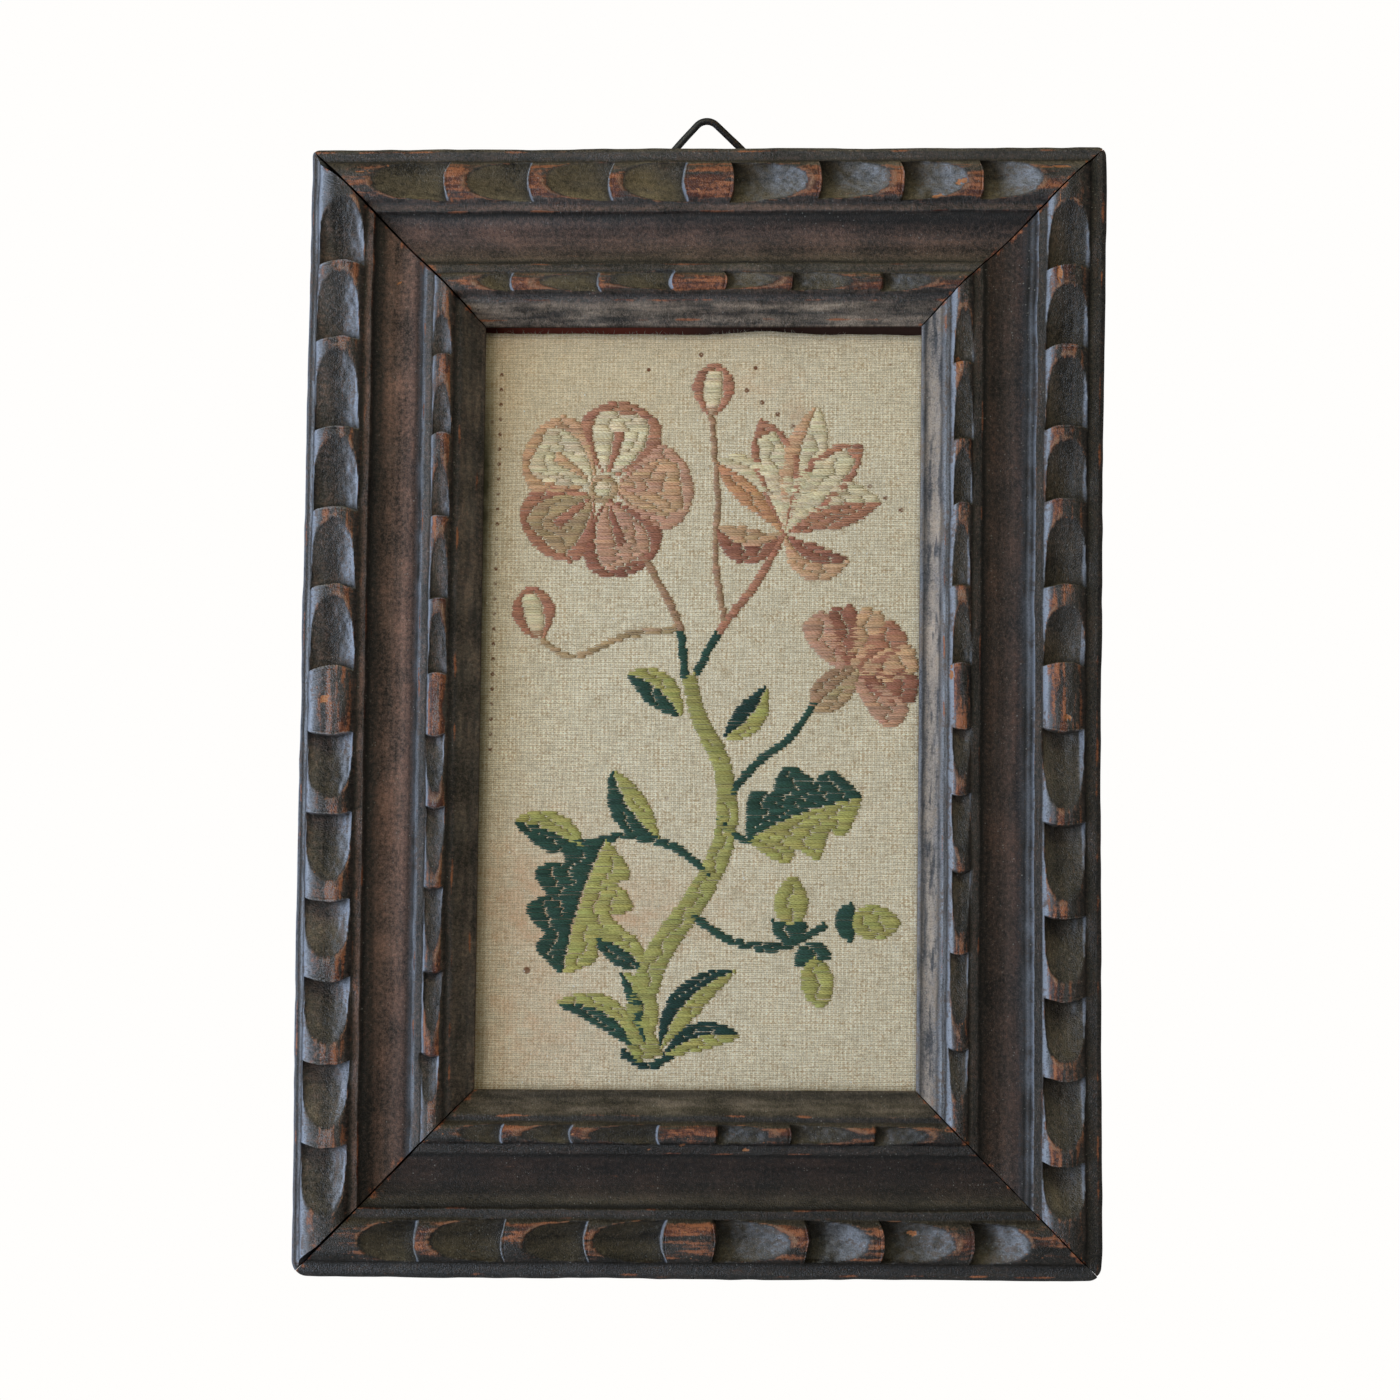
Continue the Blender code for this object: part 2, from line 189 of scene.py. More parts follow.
def signed_volume(mesh: bpy.types.Mesh) -> float:
    """The closed mesh's volume: a sixth of the sum, over its triangles, of a corner dot the others' cross.

    Args:
        mesh: a closed mesh.

    Returns:
        Cubic metres, below zero where the faces look inwards.
    """
    mesh.calc_loop_triangles()
    points = np.empty(len(mesh.vertices) * 3)
    corners = np.empty(len(mesh.loop_triangles) * 3, dtype=np.int32)
    mesh.vertices.foreach_get("co", points)
    mesh.loop_triangles.foreach_get("vertices", corners)
    first, second, third = points.reshape(-1, 3)[corners.reshape(-1, 3)].transpose(1, 0, 2)
    return float(np.einsum("ij,ij->", first, np.cross(second, third)) / 6)


def new_object(name: str, data: bpy.types.ID) -> Piece:
    """Makes an object of some data and puts it into the scene."""
    made = bpy.data.objects.new(name, data)
    bpy.context.scene.collection.objects.link(made)
    return made


def new_piece(
    name: str,
    points: Array,
    faces: Sequence,
    finish: Material,
    replaces: Sequence[str] = (),
    sharp_deg: Optional[float] = 40.0,
) -> Piece:
    """Makes one piece from world points and faces, with its finish, and sets what the frame needs to know.

    Args:
        name: the piece's name.
        points: world points in metres, one a row.
        faces: corner indices of each face.
        finish: the material.
        replaces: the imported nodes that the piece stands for.
        sharp_deg: edges that turn more than this stay sharp; None keeps every edge smooth.

    Returns:
        The new object.
    """
    mesh = bpy.data.meshes.new(name)
    mesh.from_pydata(points, [], faces)
    mesh.validate()
    if signed_volume(mesh) < 0:
        mesh.flip_normals()
    mesh.shade_smooth()
    if sharp_deg is not None:
        mesh.set_sharp_from_angle(angle=math.radians(sharp_deg))
    mesh.materials.append(finish)
    piece = new_object(name, mesh)
    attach(piece, BODY)
    if replaces:
        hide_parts(*replaces)
    log.info("%s: %d points, %d faces", name, len(mesh.vertices), len(mesh.polygons))
    return piece


def add_values(piece: Piece, values: Mapping[str, Array]) -> None:
    """Keeps one number a point for each name, which the finish reads by that name."""
    for name, numbers in values.items():
        attribute = piece.data.attributes.new(name, "FLOAT", "POINT")
        attribute.data.foreach_set("value", np.ascontiguousarray(numbers, dtype=np.float32).ravel())


def add_uv(piece: Piece, u: Array, v: Array) -> None:
    """Gives the piece a UV map with the u and v of each point, in metres."""
    mesh = piece.data
    corners = np.empty(len(mesh.loops), dtype=np.int32)
    mesh.loops.foreach_get("vertex_index", corners)
    layer = mesh.uv_layers.new(name="surface")
    pairs = stacked(u.ravel()[corners], v.ravel()[corners]) * MM
    layer.data.foreach_set("uv", pairs.astype(np.float32).ravel())


class Signal:
    """A number on its way through a finish's nodes. Arithmetic on it adds Math nodes."""

    def __init__(self, shader: "Shader", socket: bpy.types.NodeSocket) -> None:
        """Wraps an output socket of the shader's tree."""
        self.shader = shader
        self.socket = socket

    def math(self, operation: str, *others: "Number", clamp: bool = False) -> "Signal":
        """One Math node with this signal first.

        Args:
            operation: the node's operation.
            others: its other values or signals.
            clamp: whether the result is held between 0 and 1.

        Returns:
            The result.
        """
        return self.shader.math(operation, self, *others, clamp=clamp)

    def __add__(self, other: "Number") -> "Signal":
        """Sum."""
        return self.math("ADD", other)

    __radd__ = __add__

    def __sub__(self, other: "Number") -> "Signal":
        """Difference."""
        return self.math("SUBTRACT", other)

    def __rsub__(self, other: "Number") -> "Signal":
        """Difference the other way round, so that 1 - mask works."""
        return self.shader.math("SUBTRACT", other, self)

    def __mul__(self, other: "Number") -> "Signal":
        """Product."""
        return self.math("MULTIPLY", other)

    __rmul__ = __mul__

    def __truediv__(self, other: "Number") -> "Signal":
        """Quotient."""
        return self.math("DIVIDE", other)

    def __abs__(self) -> "Signal":
        """Size without sign."""
        return self.math("ABSOLUTE")

    def sine(self) -> "Signal":
        """Sine of an angle in radians."""
        return self.math("SINE")

    def most(self, other: "Number") -> "Signal":
        """The larger of the two."""
        return self.math("MAXIMUM", other)

    def held(self) -> "Signal":
        """The value held between 0 and 1."""
        return self.math("ADD", 0.0, clamp=True)

    def step(self, low: float, high: float) -> "Signal":
        """A smooth step from 0 at low to 1 at high; high may be the smaller."""
        settings = {"interpolation_type": "SMOOTHSTEP"}
        inputs = {"Value": self, "From Min": low, "From Max": high}
        if high < low:
            inputs = {"Value": self, "From Min": high, "From Max": low, "To Min": 1.0, "To Max": 0.0}
        return self.shader.node("ShaderNodeMapRange", settings, inputs)


Number = Union[Signal, float]
Colour = tuple[float, float, float]


class Shader:
    """The nodes of one finish: a Principled surface and what feeds it."""

    def __init__(self, name: str) -> None:
        """Starts an empty tree for a material of that name."""
        self.material = bpy.data.materials.new(name)
        self.material.use_nodes = True
        self.tree = self.material.node_tree
        self.tree.nodes.clear()

    def node(
        self,
        kind: str,
        settings: Optional[Mapping[str, object]] = None,
        inputs: Optional[Mapping[Union[str, int], object]] = None,
        output: Union[str, int] = 0,
    ) -> Signal:
        """Adds a node: its settings first, then the values or links of its sockets.

        Args:
            kind: the node's type.
            settings: properties of the node.
            inputs: sockets by name or number.
            output: the output that is wanted.

        Returns:
            That output.
        """
        made = self.tree.nodes.new(kind)
        for name, value in (settings or {}).items():
            setattr(made, name, value)
        for key, value in (inputs or {}).items():
            if isinstance(value, Signal):
                self.tree.links.new(value.socket, made.inputs[key])
            else:
                made.inputs[key].default_value = value
        return Signal(self, made.outputs[output])

    def math(self, operation: str, *values: Number, clamp: bool = False) -> Signal:
        """One Math node."""
        settings = {"operation": operation, "use_clamp": clamp}
        return self.node("ShaderNodeMath", settings, dict(enumerate(values)))

    def value(self, name: str) -> Signal:
        """The number that each point of the piece keeps under a name."""
        return self.node("ShaderNodeAttribute", {"attribute_name": name}, output="Fac")

    def object_place(self) -> Signal:
        """The place in the piece's own coordinates, in metres."""
        return self.node("ShaderNodeTexCoord", output="Object")

    def surface_place(self) -> Signal:
        """The place on the piece's own UV map, in metres."""
        return self.node("ShaderNodeUVMap", {"uv_map": "surface"})

    def parts(self, place: Signal) -> tuple[Signal, Signal, Signal]:
        """The three numbers of a place."""
        split = self.node("ShaderNodeSeparateXYZ", None, {0: place})
        outputs = split.socket.node.outputs
        return Signal(self, outputs[0]), Signal(self, outputs[1]), Signal(self, outputs[2])

    def noise(
        self,
        place: Signal,
        scale: float,
        detail: float = 2.0,
        roughness: float = 0.5,
        stretch: Optional[Colour] = None,
    ) -> Signal:
        """Soft noise about 0.5, with scale features to the metre, on the place times the stretch."""
        if stretch:
            place = self.node("ShaderNodeVectorMath", {"operation": "MULTIPLY"}, {0: place, 1: stretch})
        inputs = {"Vector": place, "Scale": scale, "Detail": detail, "Roughness": roughness}
        return self.node("ShaderNodeTexNoise", {"normalize": True}, inputs)

    def speck(self, place: Signal, scale: float, kept: float, radius: float) -> Signal:
        """Scattered round specks: the middles of some of a Voronoi pattern's cells.

        Args:
            place: where to read the pattern.
            scale: cells to the metre.
            kept: the share of the cells that have a speck.
            radius: its radius as a share of a cell.

        Returns:
            1 in a speck and 0 outside, with a soft edge.
        """
        inputs = {"Vector": place, "Scale": scale, "Randomness": 1.0}
        distance = self.node("ShaderNodeTexVoronoi", None, inputs, "Distance")
        colour = self.node("ShaderNodeTexVoronoi", None, inputs, "Color")
        chance, size, _ = self.parts(colour)
        reach = radius * (0.4 + 0.6 * size)
        return (distance / reach).step(1.0, 0.6) * chance.math("LESS_THAN", kept)

    def mix(self, factor: Number, first: object, second: object) -> Signal:
        """One colour blended into another by a factor."""
        first = (*first, 1.0) if isinstance(first, tuple) else first
        second = (*second, 1.0) if isinstance(second, tuple) else second
        settings = {"data_type": "RGBA", "clamp_factor": True}
        return self.node("ShaderNodeMix", settings, {0: factor, 6: first, 7: second}, 2)

    def layered(self, colour: object, *layers: tuple[Number, object]) -> Signal:
        """A colour with others laid over it in turn, each by its own factor."""
        for factor, over in layers:
            colour = self.mix(factor, colour, over)
        return colour

    def shaded(self, colour: Signal, amount: Number) -> Signal:
        """A colour multiplied by a number."""
        inputs = {0: colour, "Scale": amount}
        return self.node("ShaderNodeVectorMath", {"operation": "SCALE"}, inputs)

    def bump(self, height: Signal, distance: float, strength: float = 1.0) -> Signal:
        """A normal bent by a height of 0 to 1 that stands for a distance in metres."""
        inputs = {"Height": height, "Distance": distance, "Strength": strength}
        return self.node("ShaderNodeBump", None, inputs)

    def finish(self, **sockets: object) -> Material:
        """Ends the tree in a Principled surface.

        Args:
            sockets: its sockets, with underscores for spaces; colours as three numbers or a signal.

        Returns:
            The material.
        """
        inputs = {name.replace("_", " "): value for name, value in sockets.items()}
        for name, value in inputs.items():
            if isinstance(value, tuple) and len(value) == 3:
                inputs[name] = (*value, 1.0)
        surface = self.node("ShaderNodeBsdfPrincipled", None, inputs)
        output = self.tree.nodes.new("ShaderNodeOutputMaterial")
        self.tree.links.new(surface.socket, output.inputs["Surface"])
        return self.material


@dataclass(frozen=True)
class StainedWood:
    """Black stain over red-brown wood, rubbed through on the high edges and dusty, with painted shade in the
    corners.
    """

    stain: Colour = (0.052, 0.048, 0.046)
    ruddy: Colour = (0.14, 0.08, 0.062)
    olive: Colour = (0.066, 0.052, 0.029)
    # Colour of the painted light on surfaces that face up.
    painted_top_light: Colour = (0.16, 0.132, 0.085)
    fleck: Colour = (0.2, 0.19, 0.18)
    dusty: Colour = (0.31, 0.25, 0.2)
    rubbed_dark: Colour = (0.11, 0.03, 0.018)
    rubbed: Colour = (0.5, 0.175, 0.075)
    edge: Colour = (0.44, 0.25, 0.15)
    scuffed_and_highlit: Colour = (0.24, 0.245, 0.26)
    # The painted sheen's colours: pale blue, and a darker mottle within it.
    painted_sheen: Colour = (0.39, 0.43, 0.52)
    sheen_mottle: Colour = (0.2, 0.17, 0.17)
    bare: Colour = (0.55, 0.27, 0.12)
    near_black: Colour = (0.012, 0.011, 0.01)
    dust: Colour = (0.42, 0.41, 0.38)

    def build(self) -> Material:
        """The wood's material. It reads what the rail keeps at each point, from wear to tone."""
        wood = Shader("stained_wood")
        place = wood.surface_place()
        grain = wood.noise(place, 1300.0, 3.0, 0.6, (0.1, 1.0, 1.0))
        streak = wood.noise(place, 650.0, 2.0, 0.55, (0.12, 1.0, 1.0))
        cloud = wood.noise(place, 70.0, 3.0, 0.6)
        band = wood.noise(place, 300.0, 2.0, 0.6, (0.03, 1.0, 1.0))
        pebble = wood.noise(place, 2300.0, 2.0, 0.6)
        lump = wood.noise(place, 900.0, 2.0, 0.6)
        fine = wood.noise(place, 3600.0, 1.0)
        ruddy = wood.value("ruddy") * (0.2 + 1.6 * cloud) + (streak - 0.5) * 0.6 + (lump - 0.5) * 1.5
        # Painted top light: an olive tint on surfaces that face up, standing in for a warm lamp above.
        painted_top_light = wood.value("painted_top_light") * (0.5 + 2.0 * (pebble - 0.5) + cloud)
        dusty = wood.value("dusty") * (0.45 + 4.0 * (streak - 0.48) + 1.6 * (cloud - 0.45))
        colour = wood.layered(
            self.stain,
            (ruddy.held(), self.ruddy),
            (wood.value("olive"), self.olive),
            (painted_top_light.held(), self.painted_top_light),
            (dusty.held(), self.dusty),
        )
        light = 1.0 + 2.2 * (pebble - 0.5) + 1.8 * (lump - 0.5) + 2.4 * (cloud - 0.5) + 2.0 * (band - 0.5)
        colour = wood.shaded(colour, light.most(0.15) * wood.value("tone"))
        # Painted sheen: the pale blue kept where the surface faces left, mottled with a darker grey, stands
        # in for the reflection of a bluish lamp on the left.
        painted_sheen = 1.1 + 2.0 * (pebble - 0.5) + 1.5 * (lump - 0.5) + 2.0 * (streak - 0.5)
        painted_sheen = (wood.value("painted_sheen") * painted_sheen).held()
        sheen_mottle = (0.5 * streak + 0.5 * lump + 0.5 * (cloud - 0.5)).step(0.5, 0.62)
        colour = wood.mix(painted_sheen, colour, wood.mix(sheen_mottle, self.painted_sheen, self.sheen_mottle))
        wear = wood.value("wear")
        worn = wear * 1.6 + (streak - 0.5) * 1.7 + (lump - 0.5) * 0.6 + (fine - 0.5) * 0.3
        worn = (worn - 0.34).step(0.0, 0.6)
        rubbed = (0.8 * streak + 0.5 * lump + 0.3 * (pebble - 0.5) + 0.5 * (cloud - 0.5)).step(0.56, 0.8)
        rim = (wood.value("rim") * (1.6 * lump - 0.25)).held()
        rubbed = wood.layered(self.rubbed_dark, (rubbed, self.rubbed), (rim, self.edge))
        # Grey scuffing on the crests, with a painted highlight on the stop walls.
        scuff_and_highlight = (wood.value("scuff_and_highlight") * 1.5 + (pebble - 0.5) * 1.8 + (streak - 0.5) - 0.55).step(0.0, 0.5)
        chip = (wood.value("chip") * 1.6 + (fine - 0.5) * 0.8 - 0.5).step(0.0, 0.3)
        # Soiling and painted shade: near black in the corners, along the steps, at the stop walls' feet and
        # inside the cuts' rims.
        grime_and_shade = (wood.value("grime_and_shade") * (0.35 + 1.2 * cloud)).held()
        fleck = (0.5 * pebble + 0.5 * fine + 0.3 * (lump - 0.5)).step(0.56, 0.7)
        specks = wood.speck(place, 1300.0, 0.2, 0.34) * (0.15 + 0.85 * cloud.step(0.42, 0.62))
        colour = wood.layered(
            colour,
            (worn * 0.9, rubbed),
            (scuff_and_highlight * 0.8, self.scuffed_and_highlit),
            (chip, wood.mix(pebble.step(0.4, 0.6), self.rubbed, self.bare)),
            (grime_and_shade, self.near_black),
            (fleck * 0.3, self.fleck),
            (specks * 0.5, self.dust),
        )
        rough = 0.37 + 0.4 * (pebble - 0.5) + 0.2 * (cloud - 0.5) + 0.3 * grime_and_shade + 0.12 * specks + 0.2 * chip
        rough = rough + 0.36 * wood.value("matt")
        height = 0.3 * grain + 0.8 * pebble + 0.5 * lump + 0.3 * fine
        return wood.finish(
            Base_Color=colour,
            Roughness=rough.held(),
            Specular_IOR_Level=0.5,
            Normal=wood.bump(height, 0.00052, 0.8),
        )


@dataclass(frozen=True)
class Ridge:
    """A half-round ridge along the moulding, and the gouge that its scallops are cut with."""

    centre: float
    half_width: float
    base: float
    rise: float
    floor: float
    gouge_radius: float
    tip_power: float
    wall_bulge: float
    wall_lean: float
    heel_depth: float
    heel_rise: float
    heel_radius: float

    @property
    def depth(self) -> float:
        """How far the floor at a stop wall lies below the crest."""
        return self.base + self.rise - self.floor

    def outline(self, fullness: float, count: int) -> tuple[Array, Array]:
        """The uncut section: a superellipse, its across the cosine to the power two over the fullness."""
        angle = np.linspace(np.pi, 0.0, count)
        across = np.sign(np.cos(angle)) * np.abs(np.cos(angle)) ** (2 / fullness)
        return self.centre + self.half_width * across, self.base + self.rise * np.sin(angle)


OUTER_RIDGE = Ridge(
    centre=9.8, half_width=5.9, base=19.6, rise=3.8, floor=17.6,
    gouge_radius=9.0, tip_power=1.7, wall_bulge=1.6, wall_lean=1.35,
    heel_depth=0.4, heel_rise=0.034, heel_radius=6.6,
)
INNER_RIDGE = Ridge(
    centre=38.7, half_width=2.8, base=17.6, rise=2.1, floor=16.95,
    gouge_radius=5.0, tip_power=1.25, wall_bulge=0.9, wall_lean=0.85,
    heel_depth=0.18, heel_rise=0.045, heel_radius=3.3,
)


@dataclass(frozen=True)
class Moulding:
    """The moulding's section, as heights above the flat back over distances from the outer edge."""

    stock_width: float = 50.0
    side_height: float = 18.6
    lip: tuple = ((0.0, 18.6), (0.9, 19.5))
    outer_fillet: tuple = ((15.7, 19.8), (18.4, 19.8))
    cove: tuple = ((18.55, 18.4), (33.05, 17.1))
    cove_depth: float = 3.1
    cove_roundness: float = 0.8
    inner_fillet: tuple = ((33.3, 17.35), (35.6, 18.0))
    low_fillet: tuple = ((42.0, 16.4),)
    hollow: tuple = ((43.8, 16.3), (50.0, 9.3))
    hollow_sag: float = 0.5
    fullness: float = 2.4
    easing: float = 0.16
    rebate_depth: float = 7.0
    rebate_width: float = 6.0

    @staticmethod
    def sunk(ends: tuple, depth: float, roundness: float, count: int) -> tuple[Array, Array]:
        """A straight fall between two corners less a shallow arch: depth times a half sine to a power."""
        (start, start_height), (end, end_height) = ends
        share = np.linspace(0.0, 1.0, count)
        arch = depth * np.sin(np.pi * share) ** roundness
        return start + (end - start) * share, start_height + (end_height - start_height) * share - arch

    def knots(self) -> tuple[Array, Array]:
        """The section as a fine line of corners, across and height."""
        runs = [
            tuple(zip(*self.lip)),
            OUTER_RIDGE.outline(self.fullness, 49),
            tuple(zip(*self.outer_fillet)),
            self.sunk(self.cove, self.cove_depth, self.cove_roundness, 33),
            tuple(zip(*self.inner_fillet)),
            INNER_RIDGE.outline(self.fullness, 33),
            tuple(zip(*self.low_fillet)),
            self.sunk(self.hollow, self.hollow_sag, 1.0, 13),
        ]
        return np.concatenate([run[0] for run in runs]), np.concatenate([run[1] for run in runs])

    def height(self, across: Array) -> Array:
        """The uncut height: the mean of the line over a narrow band, which eases every arris."""
        line_across, line_height = self.knots()
        shifts = np.linspace(-self.easing, self.easing, 5)
        return np.mean([np.interp(across + shift, line_across, line_height) for shift in shifts], axis=0)

    def columns(self) -> Array:
        """Where the grid's lines run along the moulding: close at corners and ridges, wide on flats."""
        runs = (
            (0.0, 1.6, 7), (1.6, 3.6, 4), (3.6, 16.0, 40), (16.0, 18.0, 4), (18.0, 19.0, 7),
            (19.0, 32.6, 17), (32.6, 33.8, 7), (33.8, 35.6, 4), (35.6, 42.4, 26), (42.4, 43.6, 3),
            (43.6, 50.0, 12),
        )
        lines = [np.linspace(start, end, count, endpoint=False) for start, end, count in runs]
        return np.concatenate([*lines, [self.stock_width]])


@dataclass(frozen=True)
class Scallop:
    """One cut along a rail, from its stop wall to its tip, in millimetres from the rail's middle."""

    stop: float
    tip: float

    @property
    def direction(self) -> float:
        """Plus or minus one: which way the cut runs."""
        return math.copysign(1.0, self.tip - self.stop)

    @property
    def length(self) -> float:
        """How long the cut is."""
        return abs(self.tip - self.stop)


def scallops(*pairs: tuple[float, float]) -> tuple[Scallop, ...]:
    """Scallops from pairs of stop and tip."""
    return tuple(Scallop(stop, tip) for stop, tip in pairs)


class RailPlace(Enum):
    """Which side of the panel a rail is on: upright or level, and the sign of its side."""

    TOP = (False, 1)
    BOTTOM = (False, -1)
    LEFT = (True, -1)
    RIGHT = (True, 1)


@dataclass(frozen=True)
class Mitre:
    """One corner of the frame: the gap at its face, which closes at the very corner, and its rounding."""

    outer_gap: float
    inner_gap: float
    rounding: float


MITRES = {
    (-1, 1): Mitre(outer_gap=0.75, inner_gap=0.5, rounding=1.7),
    (1, 1): Mitre(outer_gap=0.5, inner_gap=0.45, rounding=2.0),
    (1, -1): Mitre(outer_gap=0.4, inner_gap=0.35, rounding=3.2),
    (-1, -1): Mitre(outer_gap=0.6, inner_gap=0.5, rounding=4.2),
}


RailArrays = tuple[Array, list, dict, Array, Array]


@dataclass(frozen=True)
class GougeHand:
    """How unevenly the gouge was led, in millimetres or shares of a cut's length or the gouge's radius."""

    overrun: float = 1.08
    reach: float = 0.97
    tilt: float = 0.9
    dip: float = 0.25
    flank_start: float = 0.82
    flank_rise: float = 10.0
    ripple: float = 0.15
    chatter: float = 0.08
    ragged: float = 0.3
    margin: float = 1.6
    back_fade: float = 6.0
    rim_softness: float = 0.16
    brow_drop: float = 0.16
    bitten: float = 0.35


@dataclass(frozen=True)
class CarvedRail:
    """One mitred length of carved moulding, with its cuts, how its wood has aged, and the light, shade and
    sheen painted on it.

    A line along the moulding is its seat across, its spread and its strength. In the extra lines of soiling
    and painted shade it has two strengths, for the rail's low end and its high end. A blemish is a chip's
    place along and across the rail, and its half sizes both ways.
    """

    name: str
    place: RailPlace
    width: float
    low_neighbour: float
    high_neighbour: float
    outer_cuts: tuple[Scallop, ...]
    inner_cuts: tuple[Scallop, ...]
    seed: int
    tone: float = 1.0
    cove_tone: float = 1.0
    hollow_tone: float = 1.0
    flank_shift: float = 0.0
    flatness: float = 1.0
    floor_start: float = 0.05
    floor_span: float = 0.85
    # Painted sheen: how much pale blue the scallop floors, stop walls, inner parts, lip and given lines take
    # where they face left.
    floor_sheen: float = 0.85
    sheen_lines: tuple = ()
    # Extra lines of soiling and painted shade, each with a strength at either end of the rail.
    more_grime_and_shade: tuple = ()
    more_rubbed: tuple = ()
    dusty: float = 0.6
    olive: float = 1.0
    ruddy_fillet: float = 0.0
    ruddy_cove: float = 0.6
    cove_low: float = 1.0
    wall_sheen: float = 1.1
    inner_sheen: float = 1.0
    lip_sheen: float = 1.0
    inner_worn: float = 0.0
    dusty_lines: tuple = ()
    lip_out: float = 0.0
    corner_out: float = 0.25
    lip_scuff: float = 0.0
    worn: float = 1.0
    scuffed_and_highlit: float = 0.25
    blemishes: tuple = ()
    rubbed_lines: tuple = (
        (0.9, 0.35, 0.5), (15.9, 0.3, 0.4), (18.3, 0.22, 0.75), (33.4, 0.26, 0.7), (43.7, 0.35, 0.6),
    )
    # Lines of soiling and painted shade along the moulding's steps and corners.
    grime_and_shade_lines: tuple = (
        (3.7, 0.5, 0.7), (16.1, 0.45, 0.6), (19.0, 0.7, 0.95), (32.6, 0.8, 0.9), (35.7, 0.35, 0.6),
        (42.2, 0.4, 0.6),
    )
    station_step: float = 0.62
    back_gap: float = -0.03
    closed_over: float = 4.0
    chip_depth: float = 0.4
    lip_fade: float = 2.2
    gap_depth: float = 15.0
    flank: float = 4.4
    flank_spread: float = 2.6
    mitre_fade: float = 9.0
    rebate_floor: float = 3.5
    back_arris: float = 0.9
    sharp_deg: float = 52.0
    map_shift: float = 400.0
    relief_seed: int = 50
    patch_seed: int = 90
    chip_seed: int = 130
    hand: GougeHand = GougeHand()

    def cuts(self) -> tuple:
        """Each ridge with its scallops."""
        return ((OUTER_RIDGE, self.outer_cuts), (INNER_RIDGE, self.inner_cuts))

    def reach(self, panel: Panel) -> tuple[float, float]:
        """The rail's whole length, and how far its outer edge is from the panel's centre."""
        upright, _ = self.place.value
        length, span = (panel.height, panel.width) if upright else (panel.width, panel.height)
        return length, span / 2

    def stations(self, length: float) -> Array:
        """Where the grid's lines run across the rail: evenly, with extra lines at each stop wall."""
        even = np.arange(-length / 2, length / 2 + self.station_step / 2, self.station_step)
        extra = []
        for ridge, run in self.cuts():
            lean = ridge.wall_lean
            offsets = np.array([-lean - 0.5, -lean - 0.12, -lean, 0.0, 0.35])
            extra += [scallop.stop + scallop.direction * offsets for scallop in run]
        extra = np.unique(np.round(np.concatenate(extra), 3))
        near = np.abs(even[:, None] - extra[None, :]).min(axis=1) < 0.3 * self.station_step
        return np.sort(np.concatenate([even[~near], extra]))

    def carve(self, across: Array, nominal: Array, uncut: Array) -> dict[str, Array]:
        """Cuts the scallops into the uncut surface.

        A gouge's floor lies at the ridge's floor height, plus its depth times the share of the cut's length
        to a power, plus the sag of the gouge's round section, which turns up at the ridge's sides by the
        square of what lies past them. A deeper, narrower heel lies at the stop wall. The surface is the
        lower one between the stop wall and the tip, with its rim a little rounded: the cut is half of the
        depth below the rim plus half of the root of that depth's square and the softness's square. Lines
        that follow the walls' bulge are shifted along the rail.

        Args:
            across: distance from the outer edge, in the stock's millimetres.
            nominal: distance along the rail before the shift.
            uncut: the height of the plain moulding there.

        Returns:
            The height, the shift along the rail, how far each point is rubbed, how strong its scuffing and
            painted highlight are, how far it is soiled and darkened by painted shade, how near it is to a
            cut's rim, and how far it lies towards a cut's tip.
        """
        wander, hand = ValueNoise(self.seed), self.hand
        height = uncut.copy()
        shift, wear, scuff_and_highlight, grime_and_shade, rims, tipward = (np.zeros_like(uncut) for _ in range(6))
        for ridge, run in self.cuts():
            raised = np.clip((uncut - ridge.base) / ridge.rise, 0.0, 1.0)
            off_centre = np.abs(across - ridge.centre)
            near = 1 - ease(off_centre, ridge.half_width, ridge.half_width + hand.margin)
            bow = np.clip(off_centre / ridge.half_width, 0.0, 1.15) ** 2 * near
            wear = np.maximum(wear, near * ease(raised, 0.35, 0.9))
            scuff_and_highlight = np.maximum(scuff_and_highlight, near * ease(raised, 0.9, 0.985) * self.scuffed_and_highlit)
            gouge = ridge.gouge_radius * self.flatness
            reach = hand.reach * ridge.gouge_radius
            for number, scallop in enumerate(run):
                ahead = scallop.direction * (nominal - scallop.stop)
                overrun = scallop.length * hand.overrun
                fade = np.where(ahead > 0, 1 - ahead / overrun, 1 + ahead / hand.back_fade)
                ragged = wander(across / 2.6 + number * 5, across * 0 + ridge.centre)
                pull = ridge.wall_bulge * bow + hand.ragged * near * ragged
                shift -= scallop.direction * pull * np.clip(fade, 0.0, 1.0) ** 2
                tilt, dip = wander(np.array([number * 3.7, number * 2.3]), np.array([ridge.centre, 60.5]))
                sideways = np.clip(across - ridge.centre - hand.tilt * tilt, -reach, reach)
                share = np.clip(ahead / scallop.length, 0.0, 1.3)
                floor = ridge.floor + ridge.depth * share ** ridge.tip_power
                floor += gouge - np.sqrt(gouge ** 2 - sideways ** 2) + hand.dip * dip
                over_side = np.maximum(np.abs(sideways) - hand.flank_start * ridge.half_width, 0.0)
                floor += hand.flank_rise * over_side ** 2 / ridge.half_width
                heel = ridge.floor - ridge.heel_depth + ahead * np.abs(ahead) * ridge.heel_rise
                heel += ridge.heel_radius - np.sqrt(np.maximum(ridge.heel_radius ** 2 - sideways ** 2, 0.01))
                in_heel = np.abs(sideways) < ridge.heel_radius * 0.98
                floor = np.minimum(floor, np.where(in_heel, heel, np.inf))
                floor += hand.ripple * wander(ahead / 2.6 + number * 11, across / 1.9)
                floor += hand.chatter * wander(ahead / 0.9 + number * 7, across / 0.8)
                inside = (ahead >= -1e-6) & (ahead < overrun) & (np.abs(sideways) < reach)
                below = uncut - floor
